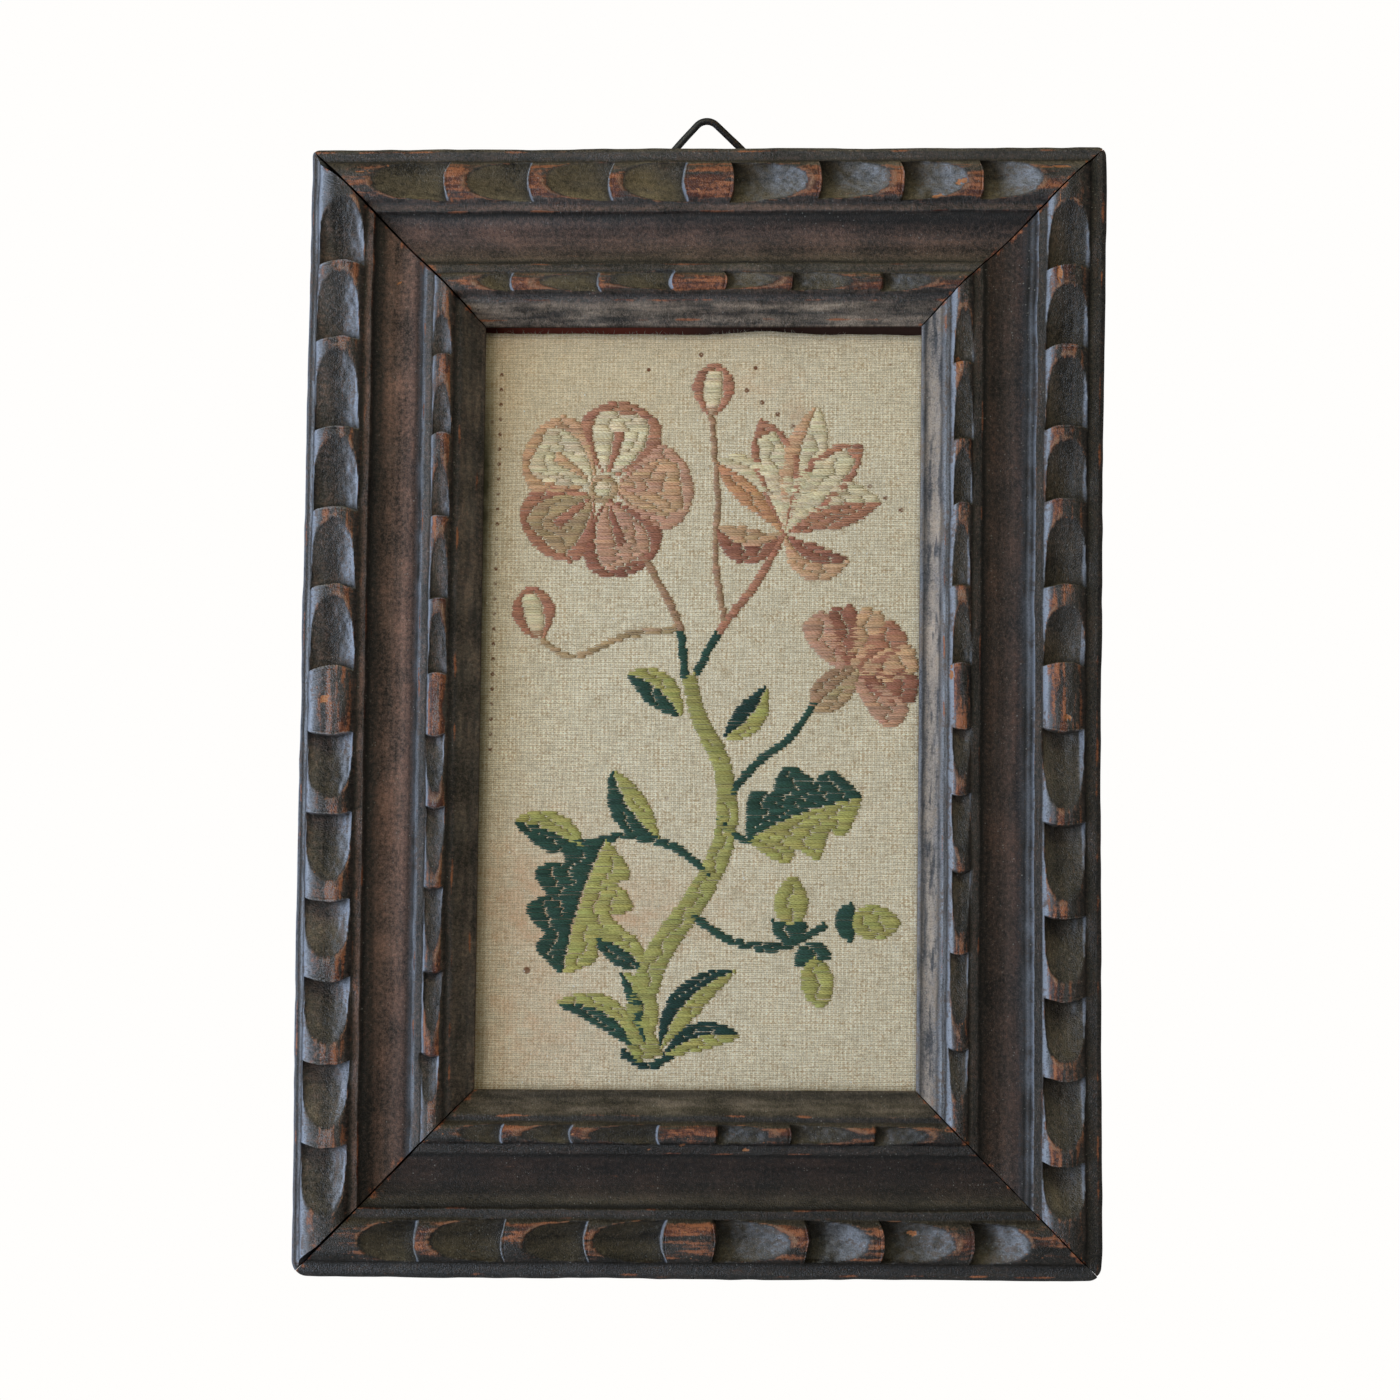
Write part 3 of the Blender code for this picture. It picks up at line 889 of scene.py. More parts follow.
                cut = (below + np.sqrt(below * below + hand.rim_softness ** 2)) / 2
                cut = np.where(inside, cut, 0.0)
                height = np.minimum(height, uncut - cut)
                rim = inside * near * hump(uncut - floor, -0.2, 0.34) * ease(ahead, 1.0, 4.0)
                rims = np.maximum(rims, rim)
                brow = near * raised * hump(ahead, -ridge.wall_lean - 0.35, 0.45)
                bitten = inside & (cut > hand.bitten)
                wear = np.where(bitten, 0.0, wear)
                wear = np.maximum(wear, np.maximum(0.85 * rim, 1.1 * brow))
                scuff_and_highlight = np.where(bitten, 0.0, scuff_and_highlight)
                # Painted highlight: a pale band on the upper part of each stop wall, below its brow, laid in
                # with the crests' scuffing.
                brow = near * ease(raised, 0.2, 0.6) * hump(ahead, -0.45 * ridge.wall_lean, 0.5)
                scuff_and_highlight = np.maximum(scuff_and_highlight, brow * (0.35 + 0.65 * self.scuffed_and_highlit))
                at_brow = np.abs(ahead + ridge.wall_lean) < 0.02
                height = np.where(at_brow, height - hand.brow_drop * raised * near, height)
                # Painted shade with some soiling: near black at the foot of each stop wall and just inside
                # each cut's rim.
                foot = (cut > 0.3) * hump(ahead, 0.0, 1.1) * 0.6
                outline = inside * near * hump(cut, 0.32, 0.24) * (0.75 - 0.3 * share)
                grime_and_shade = np.maximum(grime_and_shade, np.maximum(foot, outline))
                tipward = np.maximum(tipward, np.where(inside & (cut > 0.3), share, 0.0))
        return {
            "height": height, "shift": shift, "wear": wear, "scuff_and_highlight": scuff_and_highlight, "grime_and_shade": grime_and_shade,
            "rim": rims, "tipward": tipward,
        }

    def blemished(self, across: Array, along: Array) -> Array:
        """How far each point lies in one of the rail's chips: ragged ovals about their own centres."""
        ragged = ValueNoise(self.seed + self.chip_seed)
        depth = np.zeros_like(across)
        for centre, seat, long, wide in self.blemishes:
            spread = ((along - centre) / long) ** 2 + ((across - seat) / wide) ** 2
            edge = 1.0 - spread + 0.9 * ragged(along / 0.7, across / 0.5 + 5)
            depth = np.maximum(depth, ease(edge, 0.1, 0.7) * (spread < 3))
        return depth

    def block_wear(self, across: Array, nominal: Array) -> Array:
        """More rubbing on the uncut block in the middle of each ridge."""
        wear = np.zeros_like(across)
        for ridge, run in self.cuts():
            low = max(scallop.stop for scallop in run if scallop.direction < 0)
            high = min(scallop.stop for scallop in run if scallop.direction > 0)
            near = 1 - ease(np.abs(across - ridge.centre), ridge.half_width * 0.75, ridge.half_width)
            wear = np.maximum(wear, near * (nominal > low) * (nominal < high))
        return wear

    def section_rows(self, moulding: Moulding, scale: float) -> tuple[Array, Array, Array]:
        """The whole section as rows of points, up the side, over the face and round the back.

        Args:
            moulding: the section's sizes.
            scale: the rail's width over the stock's.

        Returns:
            The rows' distance from the outer edge, their height, and which of them are on the face.
        """
        front = moulding.columns()
        rebate_edge = (self.width - moulding.rebate_width) / scale
        walls = np.linspace(0.0, moulding.side_height, 6)[:-1]
        back = np.array([
            [moulding.stock_width, 8.2], [moulding.stock_width, moulding.rebate_depth],
            [rebate_edge, moulding.rebate_depth], [rebate_edge, self.rebate_floor], [rebate_edge, 0.0],
            [rebate_edge * 0.66, 0.0], [rebate_edge * 0.33, 0.0], [self.back_arris, 0.0],
        ])
        row_across = np.concatenate([np.zeros(len(walls)), front, back[:, 0]])
        row_height = np.concatenate([walls, moulding.height(front), back[:, 1]])
        is_front = np.zeros(len(row_across), dtype=bool)
        is_front[len(walls):len(walls) + len(front)] = True
        return row_across, row_height, is_front

    def mitre_ends(self, share: Array, row_across: Array, row_height: Array, length: float) -> list[Array]:
        """How far each row of the section reaches to its low and its high mitre.

        Args:
            share: the rows' distance from the outer edge as a share of the rail's width.
            row_across, row_height: their place in the section.
            length: the rail's length along its outer edge.

        Returns:
            The reach from the rail's middle, one column for each end.
        """
        upright, side = self.place.value
        share, depth_share = share[:, None], np.clip(row_height / self.gap_depth, 0.0, 1.0)[:, None]
        ends = []
        for sign, neighbour in ((-1, self.low_neighbour), (1, self.high_neighbour)):
            mitre = MITRES[(side, sign) if upright else (sign, side)]
            gap = mitre.outer_gap + (mitre.inner_gap - mitre.outer_gap) * share
            gap = gap * ease(row_across, 0.0, self.closed_over)[:, None]
            gap = self.back_gap + (gap - self.back_gap) * depth_share
            beyond = self.corner_out * np.exp(-row_across / self.lip_fade)[:, None]
            ends.append(length / 2 + beyond - share * neighbour - gap / math.sqrt(2))
        return ends

    def mesh_arrays(self, panel: Panel, moulding: Moulding) -> RailArrays:
        """The rail's points and faces, with the numbers that its finish reads.

        The section is carried along the rail as a grid of lines, closed round the back. Points past a mitre
        are drawn back onto it, and the faces that this flattens are left out.

        Args:
            panel: the whole panel.
            moulding: the section's sizes.

        Returns:
            World points, faces, the numbers kept at each point, and the UV map's u and v.
        """
        length, span = self.reach(panel)
        upright, side = self.place.value
        scale = self.width / moulding.stock_width
        row_across, row_height, is_front = self.section_rows(moulding, scale)
        stations = self.stations(length)
        across, nominal = np.meshgrid(row_across, stations, indexing="ij")
        uncut = np.repeat(row_height[:, None], len(stations), axis=1)
        on_front = np.repeat(is_front[:, None], len(stations), axis=1)
        low_end, high_end = self.mitre_ends(row_across * scale / self.width, row_across, row_height, length)

        first = self.carve(across, nominal, uncut)
        along = nominal + np.where(on_front, first["shift"], 0.0)
        low_index = np.maximum((along > -low_end).argmax(axis=1) - 1, 0)
        high_index = len(stations) - np.maximum((along[:, ::-1] < high_end).argmax(axis=1) - 1, 0) - 1
        order = np.arange(len(stations))[None, :]
        kept = np.clip(order, low_index[:, None], high_index[:, None])
        limited = np.clip(along, -low_end, high_end)
        carved = self.carve(across, nominal + limited - along, uncut)
        height = np.where(on_front, carved["height"], uncut)

        wander = ValueNoise(self.seed + self.relief_seed)
        lip = np.exp(-across / self.lip_fade)
        edge_wave = 0.22 * wander(limited / 23.0, across * 0 + 3.3)
        edge_wave = edge_wave + 0.1 * wander(limited / 5.0, across * 0 + 9.1)
        relief = 0.07 * wander(limited / 9.0, across / 2.0)
        relief += 0.045 * wander(limited / 2.1, across / 0.9 + 31)
        relief -= self.chip_depth * self.blemished(across, limited)
        height = height + np.where(on_front, relief, 0.0)
        run = np.maximum(np.gradient(limited, axis=1), 0.05)
        rise_along = np.gradient(height, axis=1) / run
        rise_across = np.gradient(height, axis=0) / np.maximum(np.gradient(across * scale, axis=0), 0.05)
        carved["leftward"] = -side * rise_across if upright else rise_along
        carved["upward"] = -rise_along if upright else side * rise_across
        drawn_out = across - self.flank_shift * hump(across, self.flank, self.flank_spread)
        wobble = 0.13 * wander(limited / 3.4, across / 2.5 + 80)
        wobble = wobble + 0.16 * wander(limited / 14.0, across / 9.0)
        drawn_out = drawn_out + wobble * ease(across, 0.6, 2.5) * ease(49.5 - across, 0.0, 2.0)
        to_mitre = np.minimum(limited + low_end, high_end - limited)
        away = ease(to_mitre, 0.0, self.mitre_fade)
        lip_out = self.corner_out + (self.lip_out - self.corner_out) * away
        inward = side * (span - drawn_out * scale - lip * (edge_wave - lip_out))
        x, z = (inward, limited) if upright else (limited, inward)
        x, z = self.round_corners(panel, x, z)
        points = panel.place(x, -height, z)

        carved["wear"] = np.maximum(carved["wear"], self.block_wear(across, nominal))
        numbers = self.finish_numbers(across, limited, to_mitre, carved, on_front, uncut)
        return self.knit(points, kept, numbers, limited, across * scale)

    @staticmethod
    def round_corners(panel: Panel, x: Array, z: Array) -> tuple[Array, Array]:
        """Rounds the outer corners: a corner square is drawn in onto its inscribed quarter circle."""
        for (side_x, side_z), mitre in MITRES.items():
            centre_x, centre_z = panel.width / 2 - mitre.rounding, panel.height / 2 - mitre.rounding
            beyond_x, beyond_z = side_x * x - centre_x, side_z * z - centre_z
            corner = (beyond_x > 0) & (beyond_z > 0)
            reach = np.hypot(beyond_x, beyond_z)
            factor = np.where(corner, np.maximum(beyond_x, beyond_z) / np.maximum(reach, 1e-6), 1.0)
            x = np.where(corner, side_x * (centre_x + beyond_x * factor), x)
            z = np.where(corner, side_z * (centre_z + beyond_z * factor), z)
        return x, z

    def finish_numbers(
        self, across: Array, along: Array, to_mitre: Array, carved: dict, on_front: Array, uncut: Array
    ) -> dict[str, Array]:
        """What the finish reads at each point: how ruddy, rubbed, grimy and chipped the wood is, where its
        scuffing lies, and where sheen, light and shade are painted on it.

        Args:
            across, along: the place on the rail, in millimetres.
            to_mitre: the distance along the rail to the nearer mitre.
            carved: what carve returns, and the tangents of the surface's tilt to the left and upwards.
            on_front: which points are on the moulding's face.
            uncut: the height before the carving.

        Returns:
            The numbers by name.
        """
        wander = ValueNoise(self.seed + self.patch_seed)
        patch = 0.5 + 0.5 * wander(along / 9.0, across / 2.6)
        streak = 0.5 + 0.5 * wander(along / 6.0 + 40, across / 0.55)
        inner_side = 0.0 * across
        for ridge in (OUTER_RIDGE, INNER_RIDGE):
            share = (across - ridge.centre) / ridge.half_width
            inner_side = np.maximum(inner_side, ease(share, -0.7, 0.3) * (np.abs(share) < 1.3))
        wear = carved["wear"] * (0.35 + 0.75 * patch) * (0.5 + 0.7 * streak) * (0.5 + 0.5 * inner_side)
        wear = wear * self.worn
        wear *= (0.45 + 0.55 * ease(to_mitre, 2.0, 14.0)) * (1 + self.inner_worn * ease(across, 33.0, 36.0))
        rim = carved["rim"] * (0.6 + 0.7 * inner_side) * (0.3 + patch) * (0.5 + streak)
        wear = np.maximum(wear, (0.3 + 0.35 * self.worn) * rim)
        wear = lined(
            wear, across, self.rubbed_lines + self.more_rubbed,
            lambda seat: ease(wander(along / 6.0, across * 0 + seat), 0.0, 0.7),
        )
        ragged = ease(wander(along / 1.3 + 17, across / 1.9), 0.05, 0.6)
        wear = np.maximum(wear, 0.8 * ragged * np.exp(-to_mitre / 1.1))
        wall = ease(carved["leftward"], 0.9, 1.7)
        wear = wear * (1 - 0.85 * wall)
        # Soiling and painted shade along the steps and in the cuts, less on steep left-facing walls, with
        # extra lines that may grow from one end of the rail to the other.
        grime_and_shade = lined(carved["grime_and_shade"] * (1 - 0.75 * wall), across, self.grime_and_shade_lines)
        for seat, spread, low, high in self.more_grime_and_shade:
            grime_and_shade = lined(grime_and_shade, across, [(seat, spread, low + (high - low) * ease(along, -60.0, 60.0))])
        cove = ease(across, 19.0, 23.0) * (1 - ease(across, 31.0, 33.0))
        hollow = ease(across, 43.6, 44.6)
        floor = ease(uncut - carved["height"], 0.2, 0.8)
        chip = ease(wander(along / 1.1, across / 0.9 + 70), 0.82, 0.97)
        chip = chip * ease(carved["wear"], 0.3, 0.8) * 0.7
        chip = np.maximum(chip, self.blemished(across, along))
        tone = self.tone + (self.cove_tone - self.tone) * cove + (self.hollow_tone - self.tone) * hollow
        # Painted light and shade by which way the surface faces: the cove darker where it faces left,
        # scallop floors lighter where they face right.
        leftward = ease(carved["leftward"], 0.1, 0.9)
        rightward = ease(-carved["leftward"], 0.0, 0.5)
        tone = tone * (1 - 0.6 * cove * leftward) * (1 + 0.8 * floor * rightward)
        tone = tone * (1 - (1 - self.cove_low) * cove * ease(-along, 40.0, 140.0))
        at_lip = 1 - ease(across, 2.8, 3.6)
        tipward = carved["tipward"] if self.place.value[0] else 0.0
        tone = tone * (1 - 0.3 * at_lip) * (1 - 0.3 * tipward)
        # Painted sheen: pale blue where the surface tilts to the left, on floors, stop walls and given
        # lines, standing in for a bluish lamp's reflection, with less in the cove and hollow.
        painted_sheen = ease(carved["leftward"], 0.2, 1.3) * (1 - floor) * (1 - 0.9 * np.maximum(cove, hollow))
        lit = ease(carved["leftward"], self.floor_start, self.floor_start + self.floor_span)
        painted_sheen += lit * floor * self.floor_sheen
        painted_sheen *= 1 - (1 - self.inner_sheen) * ease(across, 33.0, 34.0) - (1 - self.lip_sheen) * at_lip
        painted_sheen = np.maximum(painted_sheen + 0.03 * at_lip, self.wall_sheen * wall)
        painted_sheen = lined(
            painted_sheen, across, self.sheen_lines,
            lambda seat: 0.75 + 0.5 * wander(along / 9.0, across * 0 + seat),
        )
        # The cove redder where it faces left: painted warm light.
        ruddy = (self.ruddy_cove + 0.5 * leftward) * cove + 0.25 * patch
        ruddy += self.ruddy_fillet * hump(across, 17.3, 0.9)
        dusty = lined(hollow * self.dusty, across, self.dusty_lines)
        lip = at_lip * self.lip_scuff * (0.6 + 0.6 * streak)
        scuff_and_highlight = np.maximum(carved["scuff_and_highlight"] * (0.5 + 0.7 * patch), lip)
        # Among these, the olive tint that follows the upward tilt is painted light from above.
        front = {
            "wear": wear, "scuff_and_highlight": scuff_and_highlight, "grime_and_shade": grime_and_shade, "chip": chip,
            "ruddy": ruddy, "dusty": dusty,
            "olive": floor * (0.6 + 0.4 * patch - 0.5 * tipward) * self.olive,
            "tone": tone, "matt": np.maximum(cove * (1 + leftward), 0.55 * hollow),
            "painted_sheen": painted_sheen, "painted_top_light": 0.6 * ease(carved["upward"], 0.0, 1.0), "rim": rim,
        }
        plain = {"wear": 0.12, "grime_and_shade": 0.25, "ruddy": 0.4, "tone": 1.0, "matt": 0.8}
        return {name: np.where(on_front, values, plain.get(name, 0.0)) for name, values in front.items()}

    @staticmethod
    def knit(points: Array, kept: Array, numbers: dict, u: Array, v: Array) -> RailArrays:
        """Turns the grid into faces: each point is drawn to its kept station, and flat faces are dropped.

        Args:
            points: the grid of world points, rows round the section and stations along the rail.
            kept: the station that each grid point is drawn to.
            numbers: values on the same grid.
            u, v: the UV map on the same grid.

        Returns:
            The used points, the faces, and the values and the map at the used points.
        """
        rows, count = kept.shape
        index = np.arange(rows)[:, None] * count + kept
        following = np.roll(index, -1, axis=0)
        corners = stacked(index[:, :-1], index[:, 1:], following[:, 1:], following[:, :-1]).reshape(-1, 4)
        near_flat = corners[:, 0] == corners[:, 1]
        far_flat = corners[:, 2] == corners[:, 3]
        quads = corners[~near_flat & ~far_flat]
        first_triangles = corners[near_flat & ~far_flat][:, [0, 2, 3]]
        second_triangles = corners[~near_flat & far_flat][:, [0, 1, 2]]
        caps = [index[:, 0][::-1], index[:, -1]]
        used, inverse = np.unique(
            np.concatenate([quads.ravel(), first_triangles.ravel(), second_triangles.ravel(), *caps]),
            return_inverse=True,
        )
        sizes = np.cumsum([quads.size, first_triangles.size, second_triangles.size, rows])
        quad_part, first_part, second_part, low_cap, high_cap = np.split(inverse, sizes)
        faces = quad_part.reshape(-1, 4).tolist() + first_part.reshape(-1, 3).tolist()
        faces += second_part.reshape(-1, 3).tolist() + [low_cap.tolist(), high_cap.tolist()]
        flat = points.reshape(-1, 3)[used]
        kept_numbers = {name: values.ravel()[used] for name, values in numbers.items()}
        return flat, faces, kept_numbers, u.ravel()[used], v.ravel()[used]

    def build(self, panel: Panel, moulding: Moulding, finish: Material) -> Piece:
        """Makes the rail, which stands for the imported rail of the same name."""
        points, faces, numbers, u, v = self.mesh_arrays(panel, moulding)
        name, stands_for = "carved_rail_" + self.name, ["frame_rail_" + self.name]
        piece = new_piece(name, points, faces, finish, stands_for, self.sharp_deg)
        add_values(piece, numbers)
        add_uv(piece, u + self.map_shift * self.seed, v)
        return piece


# Per rail: its cuts and wear, and the lines and shares of painted sheen and painted shade laid on it.
RAILS = (
    CarvedRail(
        "top", RailPlace.TOP, 48.6, 48.8, 50.6,
        scallops((-7, -24), (-28, -46), (-51, -69), (-74.5, -95.5),
                 (8, 29.5), (33, 52.5), (56, 74), (78.5, 94.5)),
        scallops((-10.5, -28), (-31, -49), (-55.5, -66), (6, 21.5), (25, 43.5), (50.5, 64.5)),
        seed=1, tone=1.25, cove_tone=0.92, hollow_tone=1.15, ruddy_fillet=0.4, ruddy_cove=0.5, worn=1.25,
        lip_out=0.25, lip_scuff=0.3,
        more_grime_and_shade=((20.4, 1.6, 0.0, 0.95), (47.2, 1.2, 0.2, 0.3)), more_rubbed=((48.5, 0.25, 0.8),),
        blemishes=((72, 10.5, 2.0, 1.5), (98, 6.2, 5.0, 0.4), (-98, 7.0, 2.0, 0.35), (65, 14.4, 1.8, 0.6)),
    ),
    CarvedRail(
        "bottom", RailPlace.BOTTOM, 50.4, 48.8, 50.6,
        scallops((-9.5, -28.5), (-31, -48), (-54, -73.5), (-78.5, -93.5),
                 (6.5, 27), (32, 48.5), (52.5, 72.5), (77.5, 92.5)),
        scallops((-11.5, -30), (-35.5, -50), (-55, -66.5), (6.5, 22), (26.5, 46), (50.5, 65.5)),
        seed=2, tone=0.55, cove_tone=0.24, hollow_tone=0.62, worn=0.9, lip_out=0.6,
        more_grime_and_shade=((49.0, 1.2, 0.6, 0.6),),
        blemishes=((-13, 34.5, 0.8, 0.5), (-4, 36.0, 1.0, 0.5), (14, 34.8, 0.9, 0.5), (60, 12.5, 2.0, 0.8)),
    ),
    CarvedRail(
        "left", RailPlace.LEFT, 48.8, 50.4, 48.6,
        scallops((-8.5, -26), (-31, -49), (-55, -70.5), (-77, -94.5), (-100, -117.5), (-123, -141.5),
                 (11.5, 31.5), (34.5, 53.5), (56.5, 76.5), (79.5, 101.5), (105, 123.5), (126.5, 144)),
        scallops((-8.5, -25.5), (-29, -48.5), (-51.5, -70), (-75, -92), (-98, -111),
                 (10, 28), (31, 50), (54.5, 72), (78, 93), (100.5, 112.5)),
        seed=3, tone=1.1, cove_tone=1.6, hollow_tone=1.2, flank_shift=1.6, flatness=1.1, worn=0.65,
        scuffed_and_highlit=0.5, inner_sheen=0.45, inner_worn=0.7, lip_sheen=0.3,
        sheen_lines=((2.9, 0.8, 1.1), (33.45, 0.3, 0.7)), lip_out=0.05, dusty=0.2,
        lip_scuff=0.15, olive=0.1, ruddy_fillet=0.7, ruddy_cove=0.55, cove_low=0.65,
        more_grime_and_shade=((20.8, 1.6, 0.45, 0.45), (31.4, 1.2, 0.75, 0.75)),
        more_rubbed=((17.0, 0.8, 0.25), (48.5, 0.25, 0.8)),
        blemishes=((-132, 28.0, 1.2, 0.6), (121, 25.0, 1.0, 0.4), (2, 7.6, 1.6, 1.1)),
    ),
    CarvedRail(
        "right", RailPlace.RIGHT, 50.6, 50.4, 48.6,
        scallops((-7.5, -29), (-33.5, -54), (-59.5, -77), (-82, -99), (-104, -122), (-127.5, -141.5),
                 (13, 28.5), (35, 53), (59, 75), (79.5, 98.5), (102, 118.5), (124.5, 142)),
        scallops((-6.5, -20.5), (-25, -41.5), (-46.5, -65.5), (-69, -90.5), (-96, -108.5),
                 (13, 31.5), (35, 53.5), (58, 73.5), (76.5, 94.5), (98, 112.5)),
        seed=4, tone=0.88, cove_tone=0.6, hollow_tone=1.1, flatness=1.6, worn=0.75, scuffed_and_highlit=0.3,
        floor_start=0.3, floor_sheen=0.5, wall_sheen=0.4, olive=0.7, dusty=0.9, ruddy_cove=0.4,
        dusty_lines=((46.2, 1.5, 2.6),), lip_out=0.7,
        more_grime_and_shade=((20.6, 1.2, 0.95, 0.95), (44.5, 0.35, 0.7, 0.7), (48.9, 0.7, 0.8, 0.8)),
        sheen_lines=(
            (18.5, 0.3, 0.5), (42.8, 0.6, 0.5), (43.7, 0.3, 0.9), (49.7, 0.3, 0.9), (17.0, 1.0, 0.06),
        ),
        blemishes=((97, 40.0, 1.9, 1.0), (-3, 9.0, 0.9, 0.9), (10, 41.5, 2.2, 0.5), (122, 12.5, 3.0, 0.7)),
    ),
)


@dataclass(frozen=True)
class Stain:
    """A soft-edged mark on the cloth: where it lies, how far it spreads both ways, and how strong it is."""

    x: float
    z: float
    wide: float
    tall: float
    strength: float


@dataclass(frozen=True)
class DotRow:
    """A straight row of evenly spaced small dots, from one point towards another."""

    start: tuple[float, float]
    end: tuple[float, float]
    pitch: float
    radius: float


@dataclass(frozen=True)
class GroundCloth:
    """The cream cloth: a thin closed sheet with slack hollows, cut aslant along its raw top edge."""

    left: float = -68.9
    right: float = 67.0
    bottom: float = -113.1
    top: float = 107.6
    top_slope: float = -0.005
    top_rise: float = 0.9
    height: float = 6.15
    thickness: float = 0.5
    swell: float = 0.22
    step: float = 1.1
    seed: int = 11

    @property
    def width(self) -> float:
        """How wide the cloth was cut."""
        return self.right - self.left

    @property
    def mean_length(self) -> float:
        """The cloth's length at its middle, which with the width gives its area."""
        return self.top + self.top_slope * (self.left + self.right) / 2 - self.bottom

    def front(self, x: Array, z: Array) -> Array:
        """The front's height above the frame's back: a low swell, slack hollows, a crease and puckers."""
        slack = ValueNoise(self.seed)
        share_x = (x - self.left) / self.width
        share_z = (z - self.bottom) / (self.top - self.bottom)
        swell = self.swell * np.sin(np.pi * np.clip(share_x, 0, 1)) * np.sin(np.pi * np.clip(share_z, 0, 1))
        waves = 0.16 * slack(x / 21.0, z / 27.0) + 0.07 * slack(x / 7.0 + 9, z / 9.0)
        crease = 0.22 * hump(0.8 * (x + 30) - 0.6 * (z - 4), 0.0, 1.5)
        crease = crease * hump(0.6 * (x + 30) + 0.8 * (z - 4), 0.0, 11.0)
        pucker = 0.04 * slack(x / 2.3 + 31, z / 2.1)
        return self.height + swell + waves + crease + pucker

    def top_edge(self, x: Array) -> Array:
        """The height of the raw top edge: a slanting line with waves, drawn up right of its middle."""
        wander = ValueNoise(self.seed + 1)
        line = self.top + self.top_slope * x + self.top_rise * hump(x, 17.0, 9.0)
        return line + 0.18 * wander(x / 7.0, x * 0 + 2.2) + 0.1 * wander(x / 1.9, x * 0 + 5.1)

    def grid(self) -> tuple[Array, Array]:
        """The sheet's points as x and z over a grid of columns and rows."""
        columns = round(self.width / self.step)
        rows = round(self.mean_length / self.step)
        x = np.linspace(self.left, self.right, columns + 1)
        share = np.linspace(0.0, 1.0, rows + 1)[:, None]
        top = self.top_edge(x)[None, :]
        return np.broadcast_to(x, (rows + 1, columns + 1)), self.bottom + (top - self.bottom) * share

    @staticmethod
    def marked(x: Array, z: Array, stains: Sequence[Stain]) -> Array:
        """How strongly one kind of mark, such as a stain or the painted shade by the frame, marks each
        point: the sum of its bell-shaped marks.
        """
        total = np.zeros_like(x)
        for stain in stains:
            spread = ((x - stain.x) / stain.wide) ** 2 + ((z - stain.z) / stain.tall) ** 2
            total += stain.strength * np.exp(-spread)
        return total

    def build(self, panel: Panel, finish: Material, stains: Mapping) -> Piece:
        """Makes the sheet: the front and the back grid, joined round their edges by one strip of faces."""
        x, z = self.grid()
        front = self.front(x, z)
        rows, columns = x.shape
        both = [stacked(x, depth - front, z) for depth in (0.0, self.thickness)]
        points = panel.place_points(np.stack(both))
        index = np.arange(rows * columns).reshape(rows, columns)
        cells = stacked(index[:-1, :-1], index[:-1, 1:], index[1:, 1:], index[1:, :-1]).reshape(-1, 4)
        rim = np.concatenate([index[0, :-1], index[:-1, -1], index[-1, :0:-1], index[:0:-1, 0]])
        following = np.roll(rim, -1)
        behind = rows * columns
        strip = stacked(rim, rim + behind, following + behind, following)
        faces = cells.tolist() + (cells[:, ::-1] + behind).tolist() + strip.tolist()
        stands_for = ["embroidered_cloth"]
        piece = new_piece("ground_cloth", points, faces, finish, stands_for, 60.0)
        doubled = {name: np.tile(self.marked(x, z, marks).ravel(), 2) for name, marks in stains.items()}
        edge = np.minimum(self.top_edge(x) - z, 12.0)
        add_values(piece, {**doubled, "below_edge": np.tile(edge.ravel(), 2)})
        add_uv(piece, np.tile(x.ravel(), 2), np.tile(z.ravel(), 2))
        return piece


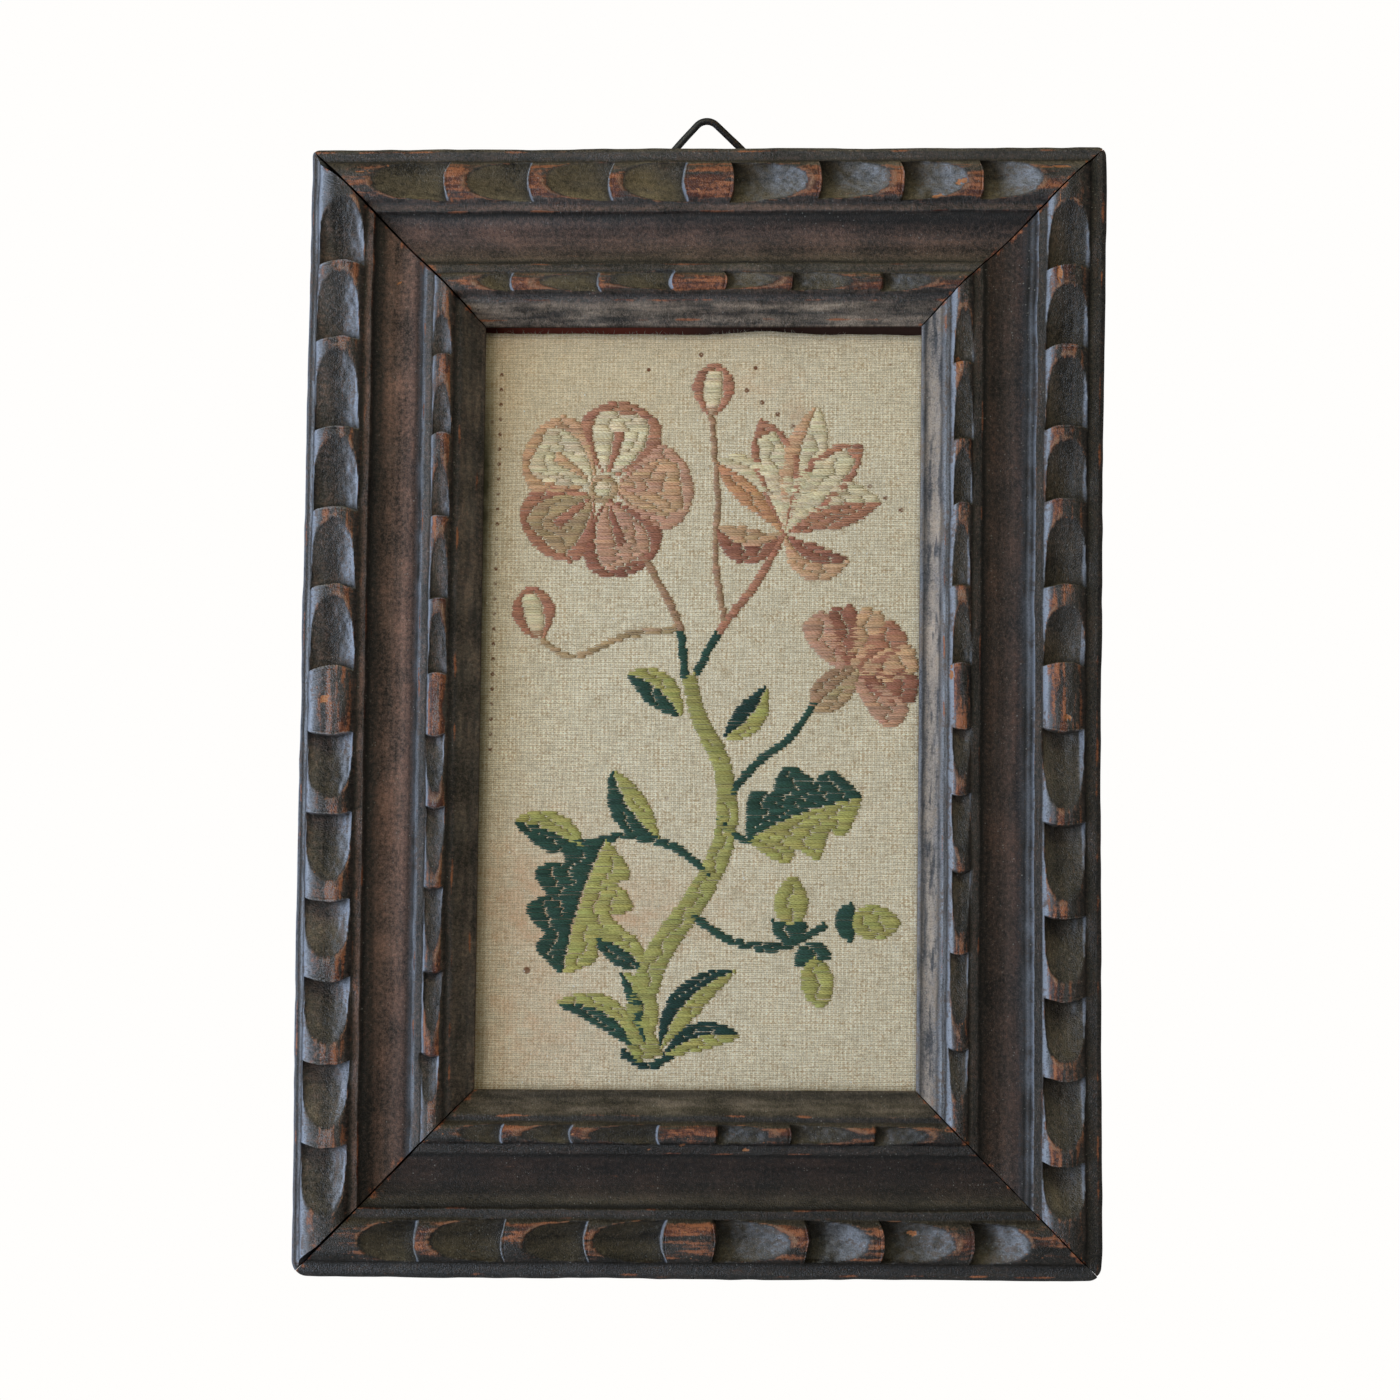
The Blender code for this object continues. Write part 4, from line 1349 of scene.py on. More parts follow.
@dataclass(frozen=True)
class AgedCloth:
    """Open cream plain weave with paired warp threads, gone brown in patches and spotted with rust."""

    pale: Colour = (0.98, 0.885, 0.68)
    thread_gap: Colour = (0.47, 0.35, 0.21)
    soiled: Colour = (0.5, 0.33, 0.17)
    opened: Colour = (1.0, 0.97, 0.86)
    yellow: Colour = (0.72, 0.54, 0.32)
    pink: Colour = (0.7, 0.46, 0.3)
    darkening: Colour = (0.09, 0.085, 0.055)
    rust: Colour = (0.19, 0.07, 0.032)
    lint: Colour = (0.9, 0.9, 0.86)
    warp_pitch: float = 0.595
    weft_pitch: float = 0.604
    band_pitch: float = 1.03
    rust_rows: tuple[DotRow, ...] = (
        DotRow((-58.6, 96.0), (-60.3, -12.0), 4.3, 0.6),
        DotRow((-1.5, 101.7), (56.5, 56.5), 5.6, 0.78),
    )
    needle_rows: tuple[DotRow, ...] = (
        DotRow((-15.0, 8.0), (-4.0, 8.0), 1.19, 0.2),
        DotRow((38.0, 38.5), (57.0, 38.5), 1.19, 0.16),
    )

    def dots(self, cloth: Shader, x: Signal, z: Signal, row: DotRow) -> Signal:
        """1 on the row's dots: the distance to the nearest of a line's evenly spaced points, stepped."""
        (x0, z0), (x1, z1) = row.start, row.end
        length = math.hypot(x1 - x0, z1 - z0)
        run, rise = (x1 - x0) / length, (z1 - z0) / length
        along = (x - x0 * MM) * run + (z - z0 * MM) * rise
        aside = (z - z0 * MM) * run - (x - x0 * MM) * rise
        count = round(length / row.pitch)
        pitch = row.pitch * MM
        beyond = (abs(along - 0.5 * count * pitch) - (0.5 * count + 0.3) * pitch).most(0.0)
        nearest = along.math("PINGPONG", pitch / 2) + beyond
        distance = (nearest * nearest + aside * aside).math("SQRT")
        return distance.step(1.2 * row.radius * MM, 0.5 * row.radius * MM)

    def build(self) -> Material:
        """The cloth's material, on its own UV map, with the stains and the painted shade by the frame that
        its points keep.
        """
        cloth = Shader("aged_cloth")
        place = cloth.surface_place()
        x, z, _ = cloth.parts(place)
        drift = cloth.noise(place, 140.0, stretch=(1.0, 0.3, 1.0)) - 0.5
        other = cloth.noise(place, 110.0, stretch=(0.3, 1.0, 1.0)) - 0.5
        warp_turn = (x + drift * 0.0009) * (2 * math.pi / (self.warp_pitch * MM))
        weft_turn = (z + other * 0.0014) * (2 * math.pi / (self.weft_pitch * MM))
        warp, weft = warp_turn.sine(), weft_turn.sine()
        pair = (warp_turn * 0.5 + 0.8).sine()
        band_turn = (z + other * 0.0014) * (2 * math.pi / (self.band_pitch * MM)) + drift * 3.0
        band = band_turn.sine()
        over = (warp_turn * 0.5).sine() * band_turn.sine()
        warp_slub = cloth.noise(place, 1500.0, stretch=(1.0, 0.16, 1.0))
        weft_slub = cloth.noise(place, 1500.0, stretch=(0.16, 1.0, 1.0))
        cloud = cloth.noise(place, 60.0, 4.0, 0.6)
        blotch = cloth.noise(place, 210.0, 3.0, 0.6)
        fibre = cloth.noise(place, 2900.0, 2.0, 0.6)
        fleck = cloth.noise(place, 1100.0, 2.0, 0.6)
        light = 1.0 + 0.3 * (warp_slub - 0.5) + 0.3 * (weft_slub - 0.5) + 0.3 * (cloud - 0.5)
        light = light + 1.1 * (fibre - 0.5) + 0.35 * (blotch - 0.5)
        close = (blotch + 0.5 * (warp_slub - 0.5)).step(0.44, 0.58)
        level = (cloud + 0.5 * (weft_slub - 0.5)).step(0.42, 0.6)
        weave = 0.5 + 0.06 * warp + weft * (0.12 + 0.1 * level) + pair * 0.11 * close + band * 0.03
        weave = weave + over * (0.03 + 0.05 * close) + 0.35 * (warp_slub - 0.5) + 0.5 * (weft_slub - 0.5)
        weave = weave + 0.6 * (fibre - 0.5)
        soiled = (fleck + 0.5 * (blotch - 0.5)).step(0.53, 0.66)
        opened = (0.4 * (pair + band) + weft_slub + warp_slub).step(1.2, 1.7)
        yellow = (cloth.value("yellowed") * (0.55 + 0.9 * cloud)).held()
        pink = (cloth.value("reddened") * (blotch * 2.2 - 0.45)).held()
        colour = cloth.layered(
            self.pale,
            (weave.step(0.8, 0.1) * 0.8, self.thread_gap),
            (soiled * 0.6, self.soiled),
            (opened * 0.6, self.opened),
            (yellow, self.yellow),
            (pink, self.pink),
        )
        foxing = cloth.speck(place, 95.0, 0.5, 0.12) * cloth.value("foxed").held()
        foxing = (foxing * (0.3 + blotch) * 1.1).held()
        spots: Number = 0.0
        for row in self.rust_rows:
            spots = self.dots(cloth, x, z, row) * (3.2 * blotch - 0.5).most(0.0) + spots
        spots = spots * (1.0 - 0.8 * over.most(0.0)) * (0.3 + 1.4 * fibre)
        holes: Number = 0.0
        for row in self.needle_rows:
            holes = self.dots(cloth, x, z, row) + holes
        # Painted shade with some soiling: darker along the cloth's edges beside the frame, where the rails
        # shade it.
        darkening = (cloth.value("frame_shade_and_dirt") * (0.6 + 0.8 * blotch)).held()
        edge = cloth.value("below_edge")
        # A drawn-thread line just below the raw top edge, then painted shade that darkens the last 1.5 mm up
        # to the edge, under the top rail.
        drawn = edge.step(0.9, 1.15) * edge.step(1.75, 1.4)
        drawn = (drawn * 0.22 + edge.step(1.5, 0.0) * 0.5).held()
        colour = cloth.layered(
            cloth.shaded(colour, light),
            (foxing, self.rust),
            (spots.held() * 0.9, self.rust),
            (holes.held() * 0.75, self.darkening),
            (darkening, self.darkening),
            (drawn, self.darkening),
            (cloth.speck(place, 420.0, 0.5, 0.13), self.lint),
        )
        height = weave * 0.6 + warp_slub * 0.25 + weft_slub * 0.25
        return cloth.finish(
            Base_Color=colour,
            Roughness=0.92,
            Specular_IOR_Level=0.12,
            Normal=cloth.bump(height, 0.00022, 0.7),
        )


CLOTH_STAINS = {
    "yellowed": (
        Stain(-45, 98, 46, 24, 0.3), Stain(-58, 60, 16, 60, 0.12), Stain(0, 108, 60, 8, 0.4),
        Stain(-20, 86, 26, 12, 0.2), Stain(56, 100, 20, 30, 0.12),
    ),
    "reddened": (
        Stain(-48, -52, 24, 18, 0.75), Stain(-20, -58, 26, 9, 0.6), Stain(-50, -90, 26, 18, 0.55),
        Stain(26, 84, 3.0, 2.6, 0.9), Stain(16, 93, 16, 6, 0.35), Stain(-8, 62, 10, 12, 0.2),
        Stain(-58, 100, 6, 40, 0.2),
    ),
    "foxed": (
        Stain(-50, 88, 22, 30, 1.1), Stain(-30, -70, 44, 34, 1.1), Stain(10, 98, 50, 14, 1.0),
        Stain(0, 0, 90, 140, 0.25),
    ),
    # Painted shade with some soiling along the cloth's edges beside the frame.
    "frame_shade_and_dirt": (
        Stain(-63.5, 8, 2.4, 90, 0.8), Stain(-62.5, 70, 2.8, 26, 0.55), Stain(-61.5, -96, 1.7, 14, 0.35),
        Stain(62.5, 0, 1.2, 130, 0.4), Stain(0, -109, 80, 1.5, 0.5),
    ),
}


def tube_arrays(lines: Array, first: Array, second: Array, sides: int) -> tuple[Array, list]:
    """Closed tubes along lines.

    At each of a line's points lies an ellipse, the cosine of the angle times the first half-axis plus its
    sine times the second, and at each end a pole.

    Args:
        lines: points by tube, ring and axis.
        first, second: half-axes by tube, ring and axis.
        sides: points in each ring.

    Returns:
        Points by tube (rings times sides, then two poles) and axis, and the faces.
    """
    tubes, rings, _ = lines.shape
    angle = np.linspace(0.0, 2 * np.pi, sides, endpoint=False)[:, None]
    around = np.cos(angle) * first[:, :, None, :] + np.sin(angle) * second[:, :, None, :]
    body = (lines[:, :, None, :] + around).reshape(tubes, rings * sides, 3)
    points = np.concatenate([body, lines[:, :1], lines[:, -1:]], axis=1)
    low = np.arange(rings - 1)[:, None] * sides
    side = np.arange(sides)
    beside = (side + 1) % sides
    quads = stacked(low + side, low + beside, low + sides + beside, low + sides + side).reshape(-1, 4)
    last = (rings - 1) * sides
    poles = np.concatenate([
        stacked(rings * sides, beside, side), stacked(rings * sides + 1, last + side, last + beside)
    ])
    shift = np.arange(tubes)[:, None, None] * (rings * sides + 2)
    return points, (quads + shift).reshape(-1, 4).tolist() + (poles + shift).reshape(-1, 3).tolist()


class Wool(Enum):
    """The wools, each a colour in light that is as strong on every side."""

    TEAL = (0.042, 0.105, 0.08)
    DEEP_TEAL = (0.026, 0.07, 0.062)
    LIME = (0.55, 0.52, 0.18)
    OLIVE = (0.5, 0.48, 0.17)
    ROSE = (0.6, 0.29, 0.19)
    DARK_ROSE = (0.46, 0.2, 0.135)
    PEACH = (0.82, 0.52, 0.32)
    ORANGE = (0.74, 0.4, 0.22)
    CREAM = (0.95, 0.82, 0.57)
    BROWN_ROSE = (0.53, 0.33, 0.21)
    TAN = (0.62, 0.44, 0.26)
    PINK = (0.74, 0.43, 0.3)


@dataclass(frozen=True)
class Frond:
    """A petal or leaf: a shape about a bent spine, of no width at its root and at its tip."""

    root: tuple[float, float]
    heading: float
    length: float
    half_width: float
    bend: float = 0.0
    taper: float = 1.0
    blunt: float = 0.75
    lobes: int = 0
    lobe_depth: float = 0.0

    def point(self, share: float) -> tuple[float, float]:
        """A point on the spine."""
        x, z = self.spine(np.array([share]))[0][0]
        return float(x), float(z)

    def spine(self, share: Array) -> tuple[Array, Array]:
        """The spine's points and the unit directions across it: a straight line bowed by a half sine."""
        turn = math.radians(self.heading)
        along = np.array([math.sin(turn), math.cos(turn)])
        aside = np.array([math.cos(turn), -math.sin(turn)])
        bow = self.bend * self.length * np.sin(np.pi * share)[:, None]
        rate = self.bend * self.length * np.pi * np.cos(np.pi * share)[:, None]
        points = np.array(self.root) + along * self.length * share[:, None] + aside * bow
        tangent = along * self.length + aside * rate
        return points, crosswise(tangent)

    def strip(self, low: float = -1.0, high: float = 1.0, start: float = 0.0, end: float = 1.0) -> Array:
        """The outline of a strip of the shape.

        The half width is a half sine of the share to the power taper, to the power blunt, less the notches
        between its lobes.

        Args:
            low, high: the strip's sides, as shares of the half width left and right of the spine.
            start, end: where it begins and ends along the spine.

        Returns:
            The outline's points.
        """
        share = np.linspace(start, end, 44)
        points, across = self.spine(share)
        width = self.half_width * np.sin(np.pi * share ** self.taper) ** self.blunt
        if self.lobes:
            width *= 1 - self.lobe_depth * (1 - np.abs(np.sin(np.pi * self.lobes * share)) ** 0.8)
        sides = [points + across * (width * edge)[:, None] for edge in (low, high)]
        return np.concatenate([sides[0], sides[1][::-1]])


@dataclass(frozen=True)
class Stem:
    """A stem: a smooth line through points, with a width that runs from one end's to the other's."""

    points: tuple[tuple[float, float], ...]
    start_width: float
    end_width: float

    def outline(self, start: float = 0.0, end: float = 1.0) -> Array:
        """The stem's outline: a smooth line through its points, half its width off to each side.

        Between two points the line is the Catmull-Rom cubic, which takes its slopes from the points beside.

        Args:
            start, end: the shares of the line between which it runs.

        Returns:
            The outline's points.
        """
        knots = np.array(self.points)
        padded = np.concatenate([[2 * knots[0] - knots[1]], knots, [2 * knots[-1] - knots[-2]]])
        share = np.linspace(start, end, 12 * len(knots))
        place = share * (len(knots) - 1)
        span = np.minimum(place.astype(int), len(knots) - 2)
        t = (place - span)[:, None]
        before, first, second, after = (padded[span + k] for k in range(4))
        cubic = 3 * (first - second) + after - before
        square = 2 * before - 5 * first + 4 * second - after
        line = first + 0.5 * t * (second - before + t * (square + t * cubic))
        across = crosswise(np.gradient(line, axis=0))
        half = (self.start_width + (self.end_width - self.start_width) * share)[:, None] / 2
        return np.concatenate([line - across * half, (line + across * half)[::-1]])


@dataclass(frozen=True)
class Patch:
    """An area filled with one wool: its outlines, where an outline inside another leaves a hole."""

    wool: Wool
    outlines: tuple[Array, ...]
    slant: float = 0.0


def ringed(frond: Frond, rim: Wool, middle: Wool, inset: float, slant: float = 0.0) -> list[Patch]:
    """A petal with a rim of one wool round a middle of another."""
    inner = frond.strip(-inset, inset, 0.0, 0.86)
    return [Patch(rim, (frond.strip(), inner), slant), Patch(middle, (inner,), slant)]


def halved(frond: Frond, left: Wool, right: Wool, slant: float = 0.0, split: float = 0.0) -> list[Patch]:
    """A leaf or petal in two wools that meet along its spine."""
    return [Patch(left, (frond.strip(-1, split),), slant), Patch(right, (frond.strip(split, 1),), slant)]


@dataclass(frozen=True)
class Stitching:
    """How an area is worked: level satin stitches in rows, of two strands each, that end on the threads."""

    row_pitch: float = 0.97
    thread_pitch: float = 0.595
    shortest: float = 0.45
    longest: float = 6.2
    strands: int = 2
    strand_width: float = 0.6
    thickness: float = 0.19
    sides: int = 6
    rings: int = 6
    sunk: float = 0.1
    least_arch: float = 0.24
    arch_rate: float = 0.018
    bluntness: float = 0.3
    spread: float = 400.0

    def rows(self, patch: Patch, chance: np.random.Generator) -> Array:
        """The stitches of a patch, as x and z of both ends.

        Every row of the sheared outlines is crossed with every edge, and the crossings are joined in pairs.
        A long stitch is split into shorter ones, whose joints drift by a sine of the row's height.

        Args:
            patch: the area and its wool.
            chance: the source of the small differences.

        Returns:
            One row a stitch: start x, start z, end x, end z.
        """
        starts = np.concatenate(patch.outlines)
        ends = np.concatenate([np.roll(outline, -1, axis=0) for outline in patch.outlines])
        low = starts[:, 1] - patch.slant * starts[:, 0]
        high = ends[:, 1] - patch.slant * ends[:, 0]
        first, last = math.floor(low.min() / self.row_pitch), math.ceil(low.max() / self.row_pitch)
        levels = (np.arange(first, last + 1)[:, None] + 0.5) * self.row_pitch
        crossed = (low[None] <= levels) != (high[None] <= levels)
        rise = np.where(high == low, 1.0, high - low)
        x = starts[:, 0] + (levels - low) / rise * (ends[:, 0] - starts[:, 0])
        x = np.sort(np.where(crossed, x, np.inf), axis=1)
        if x.shape[1] % 2:
            x = np.concatenate([x, np.full((len(x), 1), np.inf)], axis=1)
        left, right = x[:, 0::2], x[:, 1::2]
        wide = right - np.where(np.isfinite(left), left, 0) > self.shortest
        row, column = np.nonzero(np.isfinite(right) & wide)
        left = np.round(left[row, column] / self.thread_pitch) * self.thread_pitch
        right = np.round(right[row, column] / self.thread_pitch) * self.thread_pitch
        right = np.maximum(right, left + 1.5 * self.thread_pitch)
        left = left + chance.normal(0.04, 0.07, len(left))
        right = right - chance.normal(0.04, 0.07, len(right))
        count = np.ceil((right - left) / self.longest).astype(int)
        owner = np.repeat(np.arange(len(left)), count)
        number = np.arange(len(owner)) - np.repeat(np.cumsum(count) - count, count)
        wave = 0.24 * np.sin(levels[row, 0] * 0.8 + left[0])[:, None]
        joints = wave + chance.normal(0.0, 0.07, (len(left), count.max() + 1))
        joints[:, 0] = 0.0
        joints[np.arange(len(left)), count] = 0.0
        span = (right - left)[owner] / count[owner]
        first = left[owner] + span * (number + joints[owner, number])
        last = left[owner] + span * (number + 1 + joints[owner, number + 1])
        level = levels[row, 0][owner] + chance.normal(0.0, 0.035, len(owner))
        return stacked(first, level + patch.slant * first, last, level + patch.slant * last)

    def stranded(self, ends: Array, chance: np.random.Generator) -> Array:
        """Each stitch as its strands: side by side across the row, each end shifted a little at random.

        Args:
            ends: one row a stitch.
            chance: the source of the small differences.

        Returns:
            One row a strand, the strands of a stitch after each other.
        """
        each = np.repeat(ends, self.strands, axis=0)
        run = each[:, 2:] - each[:, :2]
        run = run / np.linalg.norm(run, axis=1, keepdims=True)
        aside = stacked(-run[:, 1], run[:, 0])
        seat = np.tile(np.arange(self.strands), len(ends)) - (self.strands - 1) / 2
        for columns in (slice(0, 2), slice(2, 4)):
            drift = seat * self.row_pitch / self.strands + chance.normal(0.0, 0.05, len(each))
            each[:, columns] += aside * drift[:, None] + run * chance.normal(0.0, 0.1, len(each))[:, None]
        return each

    def build(
        self,
        name: str,
        panel: Panel,
        cloth: GroundCloth,
        finish: Material,
        patches: Sequence[Patch],
        seed: int,
    ) -> Piece:
        """Makes the stitches of one motif as closed blunt strands that arch a little above the cloth.

        The arch and the strand's half-axes follow a half sine to a small power along the stitch.

        Args:
            name: the piece's name.
            panel: the whole panel.
            cloth: the cloth under the stitches.
            finish: the wool's material.
            patches: the motif's areas, each with its wool.
            seed: the seed of the small differences.

        Returns:
            The piece, which keeps each strand's colour.
        """
        chance = np.random.default_rng(seed)
        worked = [self.rows(patch, chance) for patch in patches]
        counts = [len(rows) for rows in worked]
        ends = np.concatenate(worked)
        tint = np.repeat(np.array([patch.wool.value for patch in patches]), counts, axis=0)
        tint = tint * chance.normal(1.0, 0.08, (len(ends), 1)) * chance.normal(1.0, 0.025, (len(ends), 3))
        ends = self.stranded(ends, chance)
        tint = np.repeat(tint, self.strands, axis=0) * chance.normal(1.0, 0.07, (len(ends), 1))
        share = 0.5 - 0.5 * np.cos(np.pi * np.linspace(0.0, 1.0, self.rings))
        share = 0.012 + 0.976 * share
        dome = np.sin(np.pi * share) ** self.bluntness
        start, end = ends[:, None, :2], ends[:, None, 2:]
        line = start + (end - start) * share[None, :, None]
        run = np.linalg.norm(end - start, axis=2)
        sway = chance.normal(0.0, 0.04, (len(ends), 1)) * np.sin(np.pi * share) * np.minimum(run, 4.0) / 2
        x, z = line[..., 0], line[..., 1] + sway
        arch = self.least_arch + self.arch_rate * np.minimum(run, 8.0) + chance.normal(0.0, 0.03, run.shape)
        height = cloth.front(x, z) - self.sunk + arch * dome
        direction = (end - start) / run[..., None]
        half = (0.5 * self.strand_width * chance.normal(1.04, 0.08, run.shape)) * dome
        first = stacked(-direction[..., 1] * half, 0.0, direction[..., 0] * half)
        second = stacked(0 * x, self.thickness * dome, 0.0)
        points, faces = tube_arrays(stacked(x, -height, z), first, second, self.sides)
        piece = new_piece(name, panel.place_points(points), faces, finish, (), None)
        each = points.shape[1]
        colours = np.concatenate([np.repeat(tint, each, axis=0), np.ones((len(ends) * each, 1))], axis=1)
        attribute = piece.data.attributes.new("wool", "FLOAT_COLOR", "POINT")
        attribute.data.foreach_set("color", colours.astype(np.float32).ravel())
        along = run * share[None, :]
        u = np.repeat(along, self.sides, axis=1)
        u = np.concatenate([u, along[:, :1], along[:, -1:]], axis=1)
        u = u + chance.uniform(0, self.spread, (len(ends), 1))
        v = np.abs(np.linspace(-1.0, 1.0, self.sides, endpoint=False))
        v = np.tile(v, self.rings) * self.strand_width
        v = np.concatenate([v, [0.0, 0.0]])[None, :] + chance.uniform(0, self.spread, (len(ends), 1))
        tip = np.repeat(1 - dome, self.sides)
        add_values(piece, {"tip": np.tile(np.concatenate([tip, [1.0, 1.0]]), len(ends))})
        add_uv(piece, u, v)
        return piece


@dataclass(frozen=True)
class WoolFinish:
    """Matt wool: two twisted plies of fine fibres, with painted shade at the needle holes where each strand
    dives into the cloth.
    """

    twist_pitch: float = 1.3
    ply_width: float = 0.55

    def build(self) -> Material:
        """The wool's material. It takes its colour from each stitch, and its strands from the UV map."""
        wool = Shader("embroidery_wool")
        place = wool.surface_place()
        u, v, _ = wool.parts(place)
        turn = u * (2 * math.pi / (self.twist_pitch * MM)) + v * (2 * math.pi / (self.ply_width * MM))
        ply = 0.5 + 0.5 * turn.sine()
        hairs = wool.noise(place, 4800.0, 2.0, 0.6, (0.1, 1.0, 1.0))
        fluff = wool.noise(wool.object_place(), 2600.0, 2.0, 0.6)
        light = 0.86 + 0.12 * ply + 0.9 * (hairs - 0.5) + 0.4 * (fluff - 0.5)
        # Painted shade: each strand darkens towards its ends, where it dives into the cloth.
        light = light * (1 - 0.8 * wool.value("tip").step(0.3, 0.95))
        tint = wool.node("ShaderNodeAttribute", {"attribute_name": "wool"}, output="Color")
        colour = wool.shaded(tint, light)
        return wool.finish(
            Base_Color=colour,
            Roughness=0.88,
            Specular_IOR_Level=0.2,
            Sheen_Weight=0.12,
            Sheen_Roughness=0.5,
            Normal=wool.bump(ply * 0.4 + hairs * 0.6, 0.00018, 0.8),
        )


def rose_motif() -> list[Patch]:
    """A five-petalled wild rose, seen from the front."""
    centre = (-29.0, 63.0)
    patches = []
    rims = (Wool.ROSE, Wool.PINK, Wool.DARK_ROSE, Wool.ROSE, Wool.PEACH)
    middles = (Wool.CREAM, Wool.PEACH, Wool.PINK, Wool.TAN, Wool.CREAM)
    for number, (rim, middle) in enumerate(zip(rims, middles)):
        heading = 72.0 * number + 14.0
        turn = math.radians(heading)
        root = (centre[0] + 3.4 * math.sin(turn), centre[1] + 3.4 * math.cos(turn))
        petal = Frond(root, heading, 22.5, 12.0, 0.03, 1.45, 0.55)
        inner = petal.strip(-0.66, 0.66, 0.03, 0.84)
        vein = petal.strip(-0.13, 0.13, 0.06, 0.6)
        patches += [
            Patch(rim, (petal.strip(), inner)),
            Patch(middle, (inner, vein)),
            Patch(rim, (vein,)),
        ]
    middle = Frond((centre[0], centre[1] - 4.4), 0.0, 8.8, 4.4, blunt=0.6)
    knot = Frond((centre[0], centre[1] - 2.4), 0.0, 4.8, 2.4, blunt=0.6)
    patches += [Patch(Wool.TAN, (middle.strip(), knot.strip())), Patch(Wool.CREAM, (knot.strip(),))]
    return patches


def lily_motif() -> list[Patch]:
    """An open bell-shaped flower that leans to the right, its outer petals curled down."""
    root, heading = (23.0, 50.0), 14.0
    patches = []
    for turn, side in ((-98.0, 0.1), (98.0, -0.1)):
        petal = Frond(root, heading + turn, 20.0, 5.2, side * -2.2, 1.1)
        patches += halved(petal, Wool.DARK_ROSE, Wool.PEACH)
    for turn, bend in ((-58.0, 0.12), (58.0, -0.12)):
        petal = Frond(root, heading + turn, 29.0, 6.6, bend, 1.2)
        patches += halved(petal, *((Wool.ORANGE, Wool.CREAM) if turn < 0 else (Wool.CREAM, Wool.ROSE)))
    for turn, bend in ((-27.0, 0.06), (27.0, -0.06)):
        petal = Frond(root, heading + turn, 34.0, 6.8, bend, 1.25)
        patches += ringed(petal, Wool.ROSE, Wool.CREAM, 0.6)
    petal = Frond(root, heading, 38.0, 6.8, 0.0, 1.15)
    patches += halved(petal, Wool.PEACH, Wool.CREAM, 0.0, -0.25)
    return patches


def carnation_motif() -> list[Patch]:
    """A fan of notched petals above a long cup."""
    heading = 48.0
    cup = Frond((31.0, 0.0), heading, 18.0, 5.4, 0.0, 0.85, 0.6)
    root = cup.point(0.8)
    wools = (Wool.PINK, Wool.DARK_ROSE, Wool.PEACH, Wool.ROSE, Wool.PEACH, Wool.DARK_ROSE, Wool.PINK)
    patches = []
    for number, wool in enumerate(wools):
        petal = Frond(root, heading + 27.0 * (number - 3), 21.5, 5.0, 0.0, 1.7, 0.5)
        patches += [Patch(wool, (petal.strip(-1, 1, 0.12, 0.93),))]
    patches += halved(cup, Wool.BROWN_ROSE, Wool.TAN)
    return patches


def bud_motif() -> list[Patch]:
    """Two closed buds on fine stalks."""
    patches = []
    for root, heading in (((-46.5, 20.0), -14.0), ((1.6, 84.0), 4.0)):
        bud = Frond(root, heading, 15.5, 6.2, 0.0, 1.1, 0.6)
        patches += ringed(bud, Wool.ROSE, Wool.CREAM, 0.45)
        patches += [Patch(Wool.BROWN_ROSE, (bud.strip(-1, 1, -0.0, 0.16),))]
    return patches


def stalk_motif() -> list[Patch]:
    """The main stalk and its branches: green below, rose brown above."""
    rise_left = Stem(((-5, 9), (-7, 24), (-14, 38), (-23, 52)), 2.6, 2.3)
    rise_right = Stem(((-2, 10), (5, 23), (15, 36), (23, 51)), 2.6, 2.3)
    trunk = ((-14, -99), (-17, -88), (-12, -70), (0, -52), (7, -35), (6, -17), (-1, -2), (-4, 10))
    parts = (
        (Wool.TEAL, Stem(((3, -47), (-8, -39), (-22, -36), (-36, -40)), 2.6, 2.2), 0.0, 1.0),
        (Wool.TEAL, Stem(((-3, -58), (10, -66), (24, -67), (36, -61)), 2.4, 2.2), 0.0, 1.0),
        (Wool.TEAL, Stem(((8, -24), (16, -15), (25, -8), (32, 2)), 2.6, 2.2), 0.0, 1.0),
        (Wool.TEAL, Stem(((5, -31), (10, -36), (16, -37)), 2.2, 2.0), 0.0, 1.0),
        (Wool.OLIVE, Stem(trunk, 9.0, 4.4), 0.0, 1.0),
        (Wool.TEAL, rise_left, 0.0, 0.3),
        (Wool.BROWN_ROSE, rise_left, 0.3, 1.0),
        (Wool.TEAL, rise_right, 0.0, 0.3),
        (Wool.ROSE, rise_right, 0.3, 1.0),
        (Wool.TAN, Stem(((-7, 23), (-22, 21), (-37, 15), (-46.5, 20)), 2.0, 1.8), 0.0, 1.0),
        (Wool.BROWN_ROSE, Stem(((6, 25), (3.4, 42), (3.6, 62), (1.6, 85)), 2.0, 1.8), 0.0, 1.0),
        (Wool.DEEP_TEAL, Stem(((-22, -97), (-14, -101), (-6, -97)), 2.6, 2.2), 0.0, 1.0),
    )
    return [Patch(wool, (stem.outline(start, end),)) for wool, stem, start, end in parts]


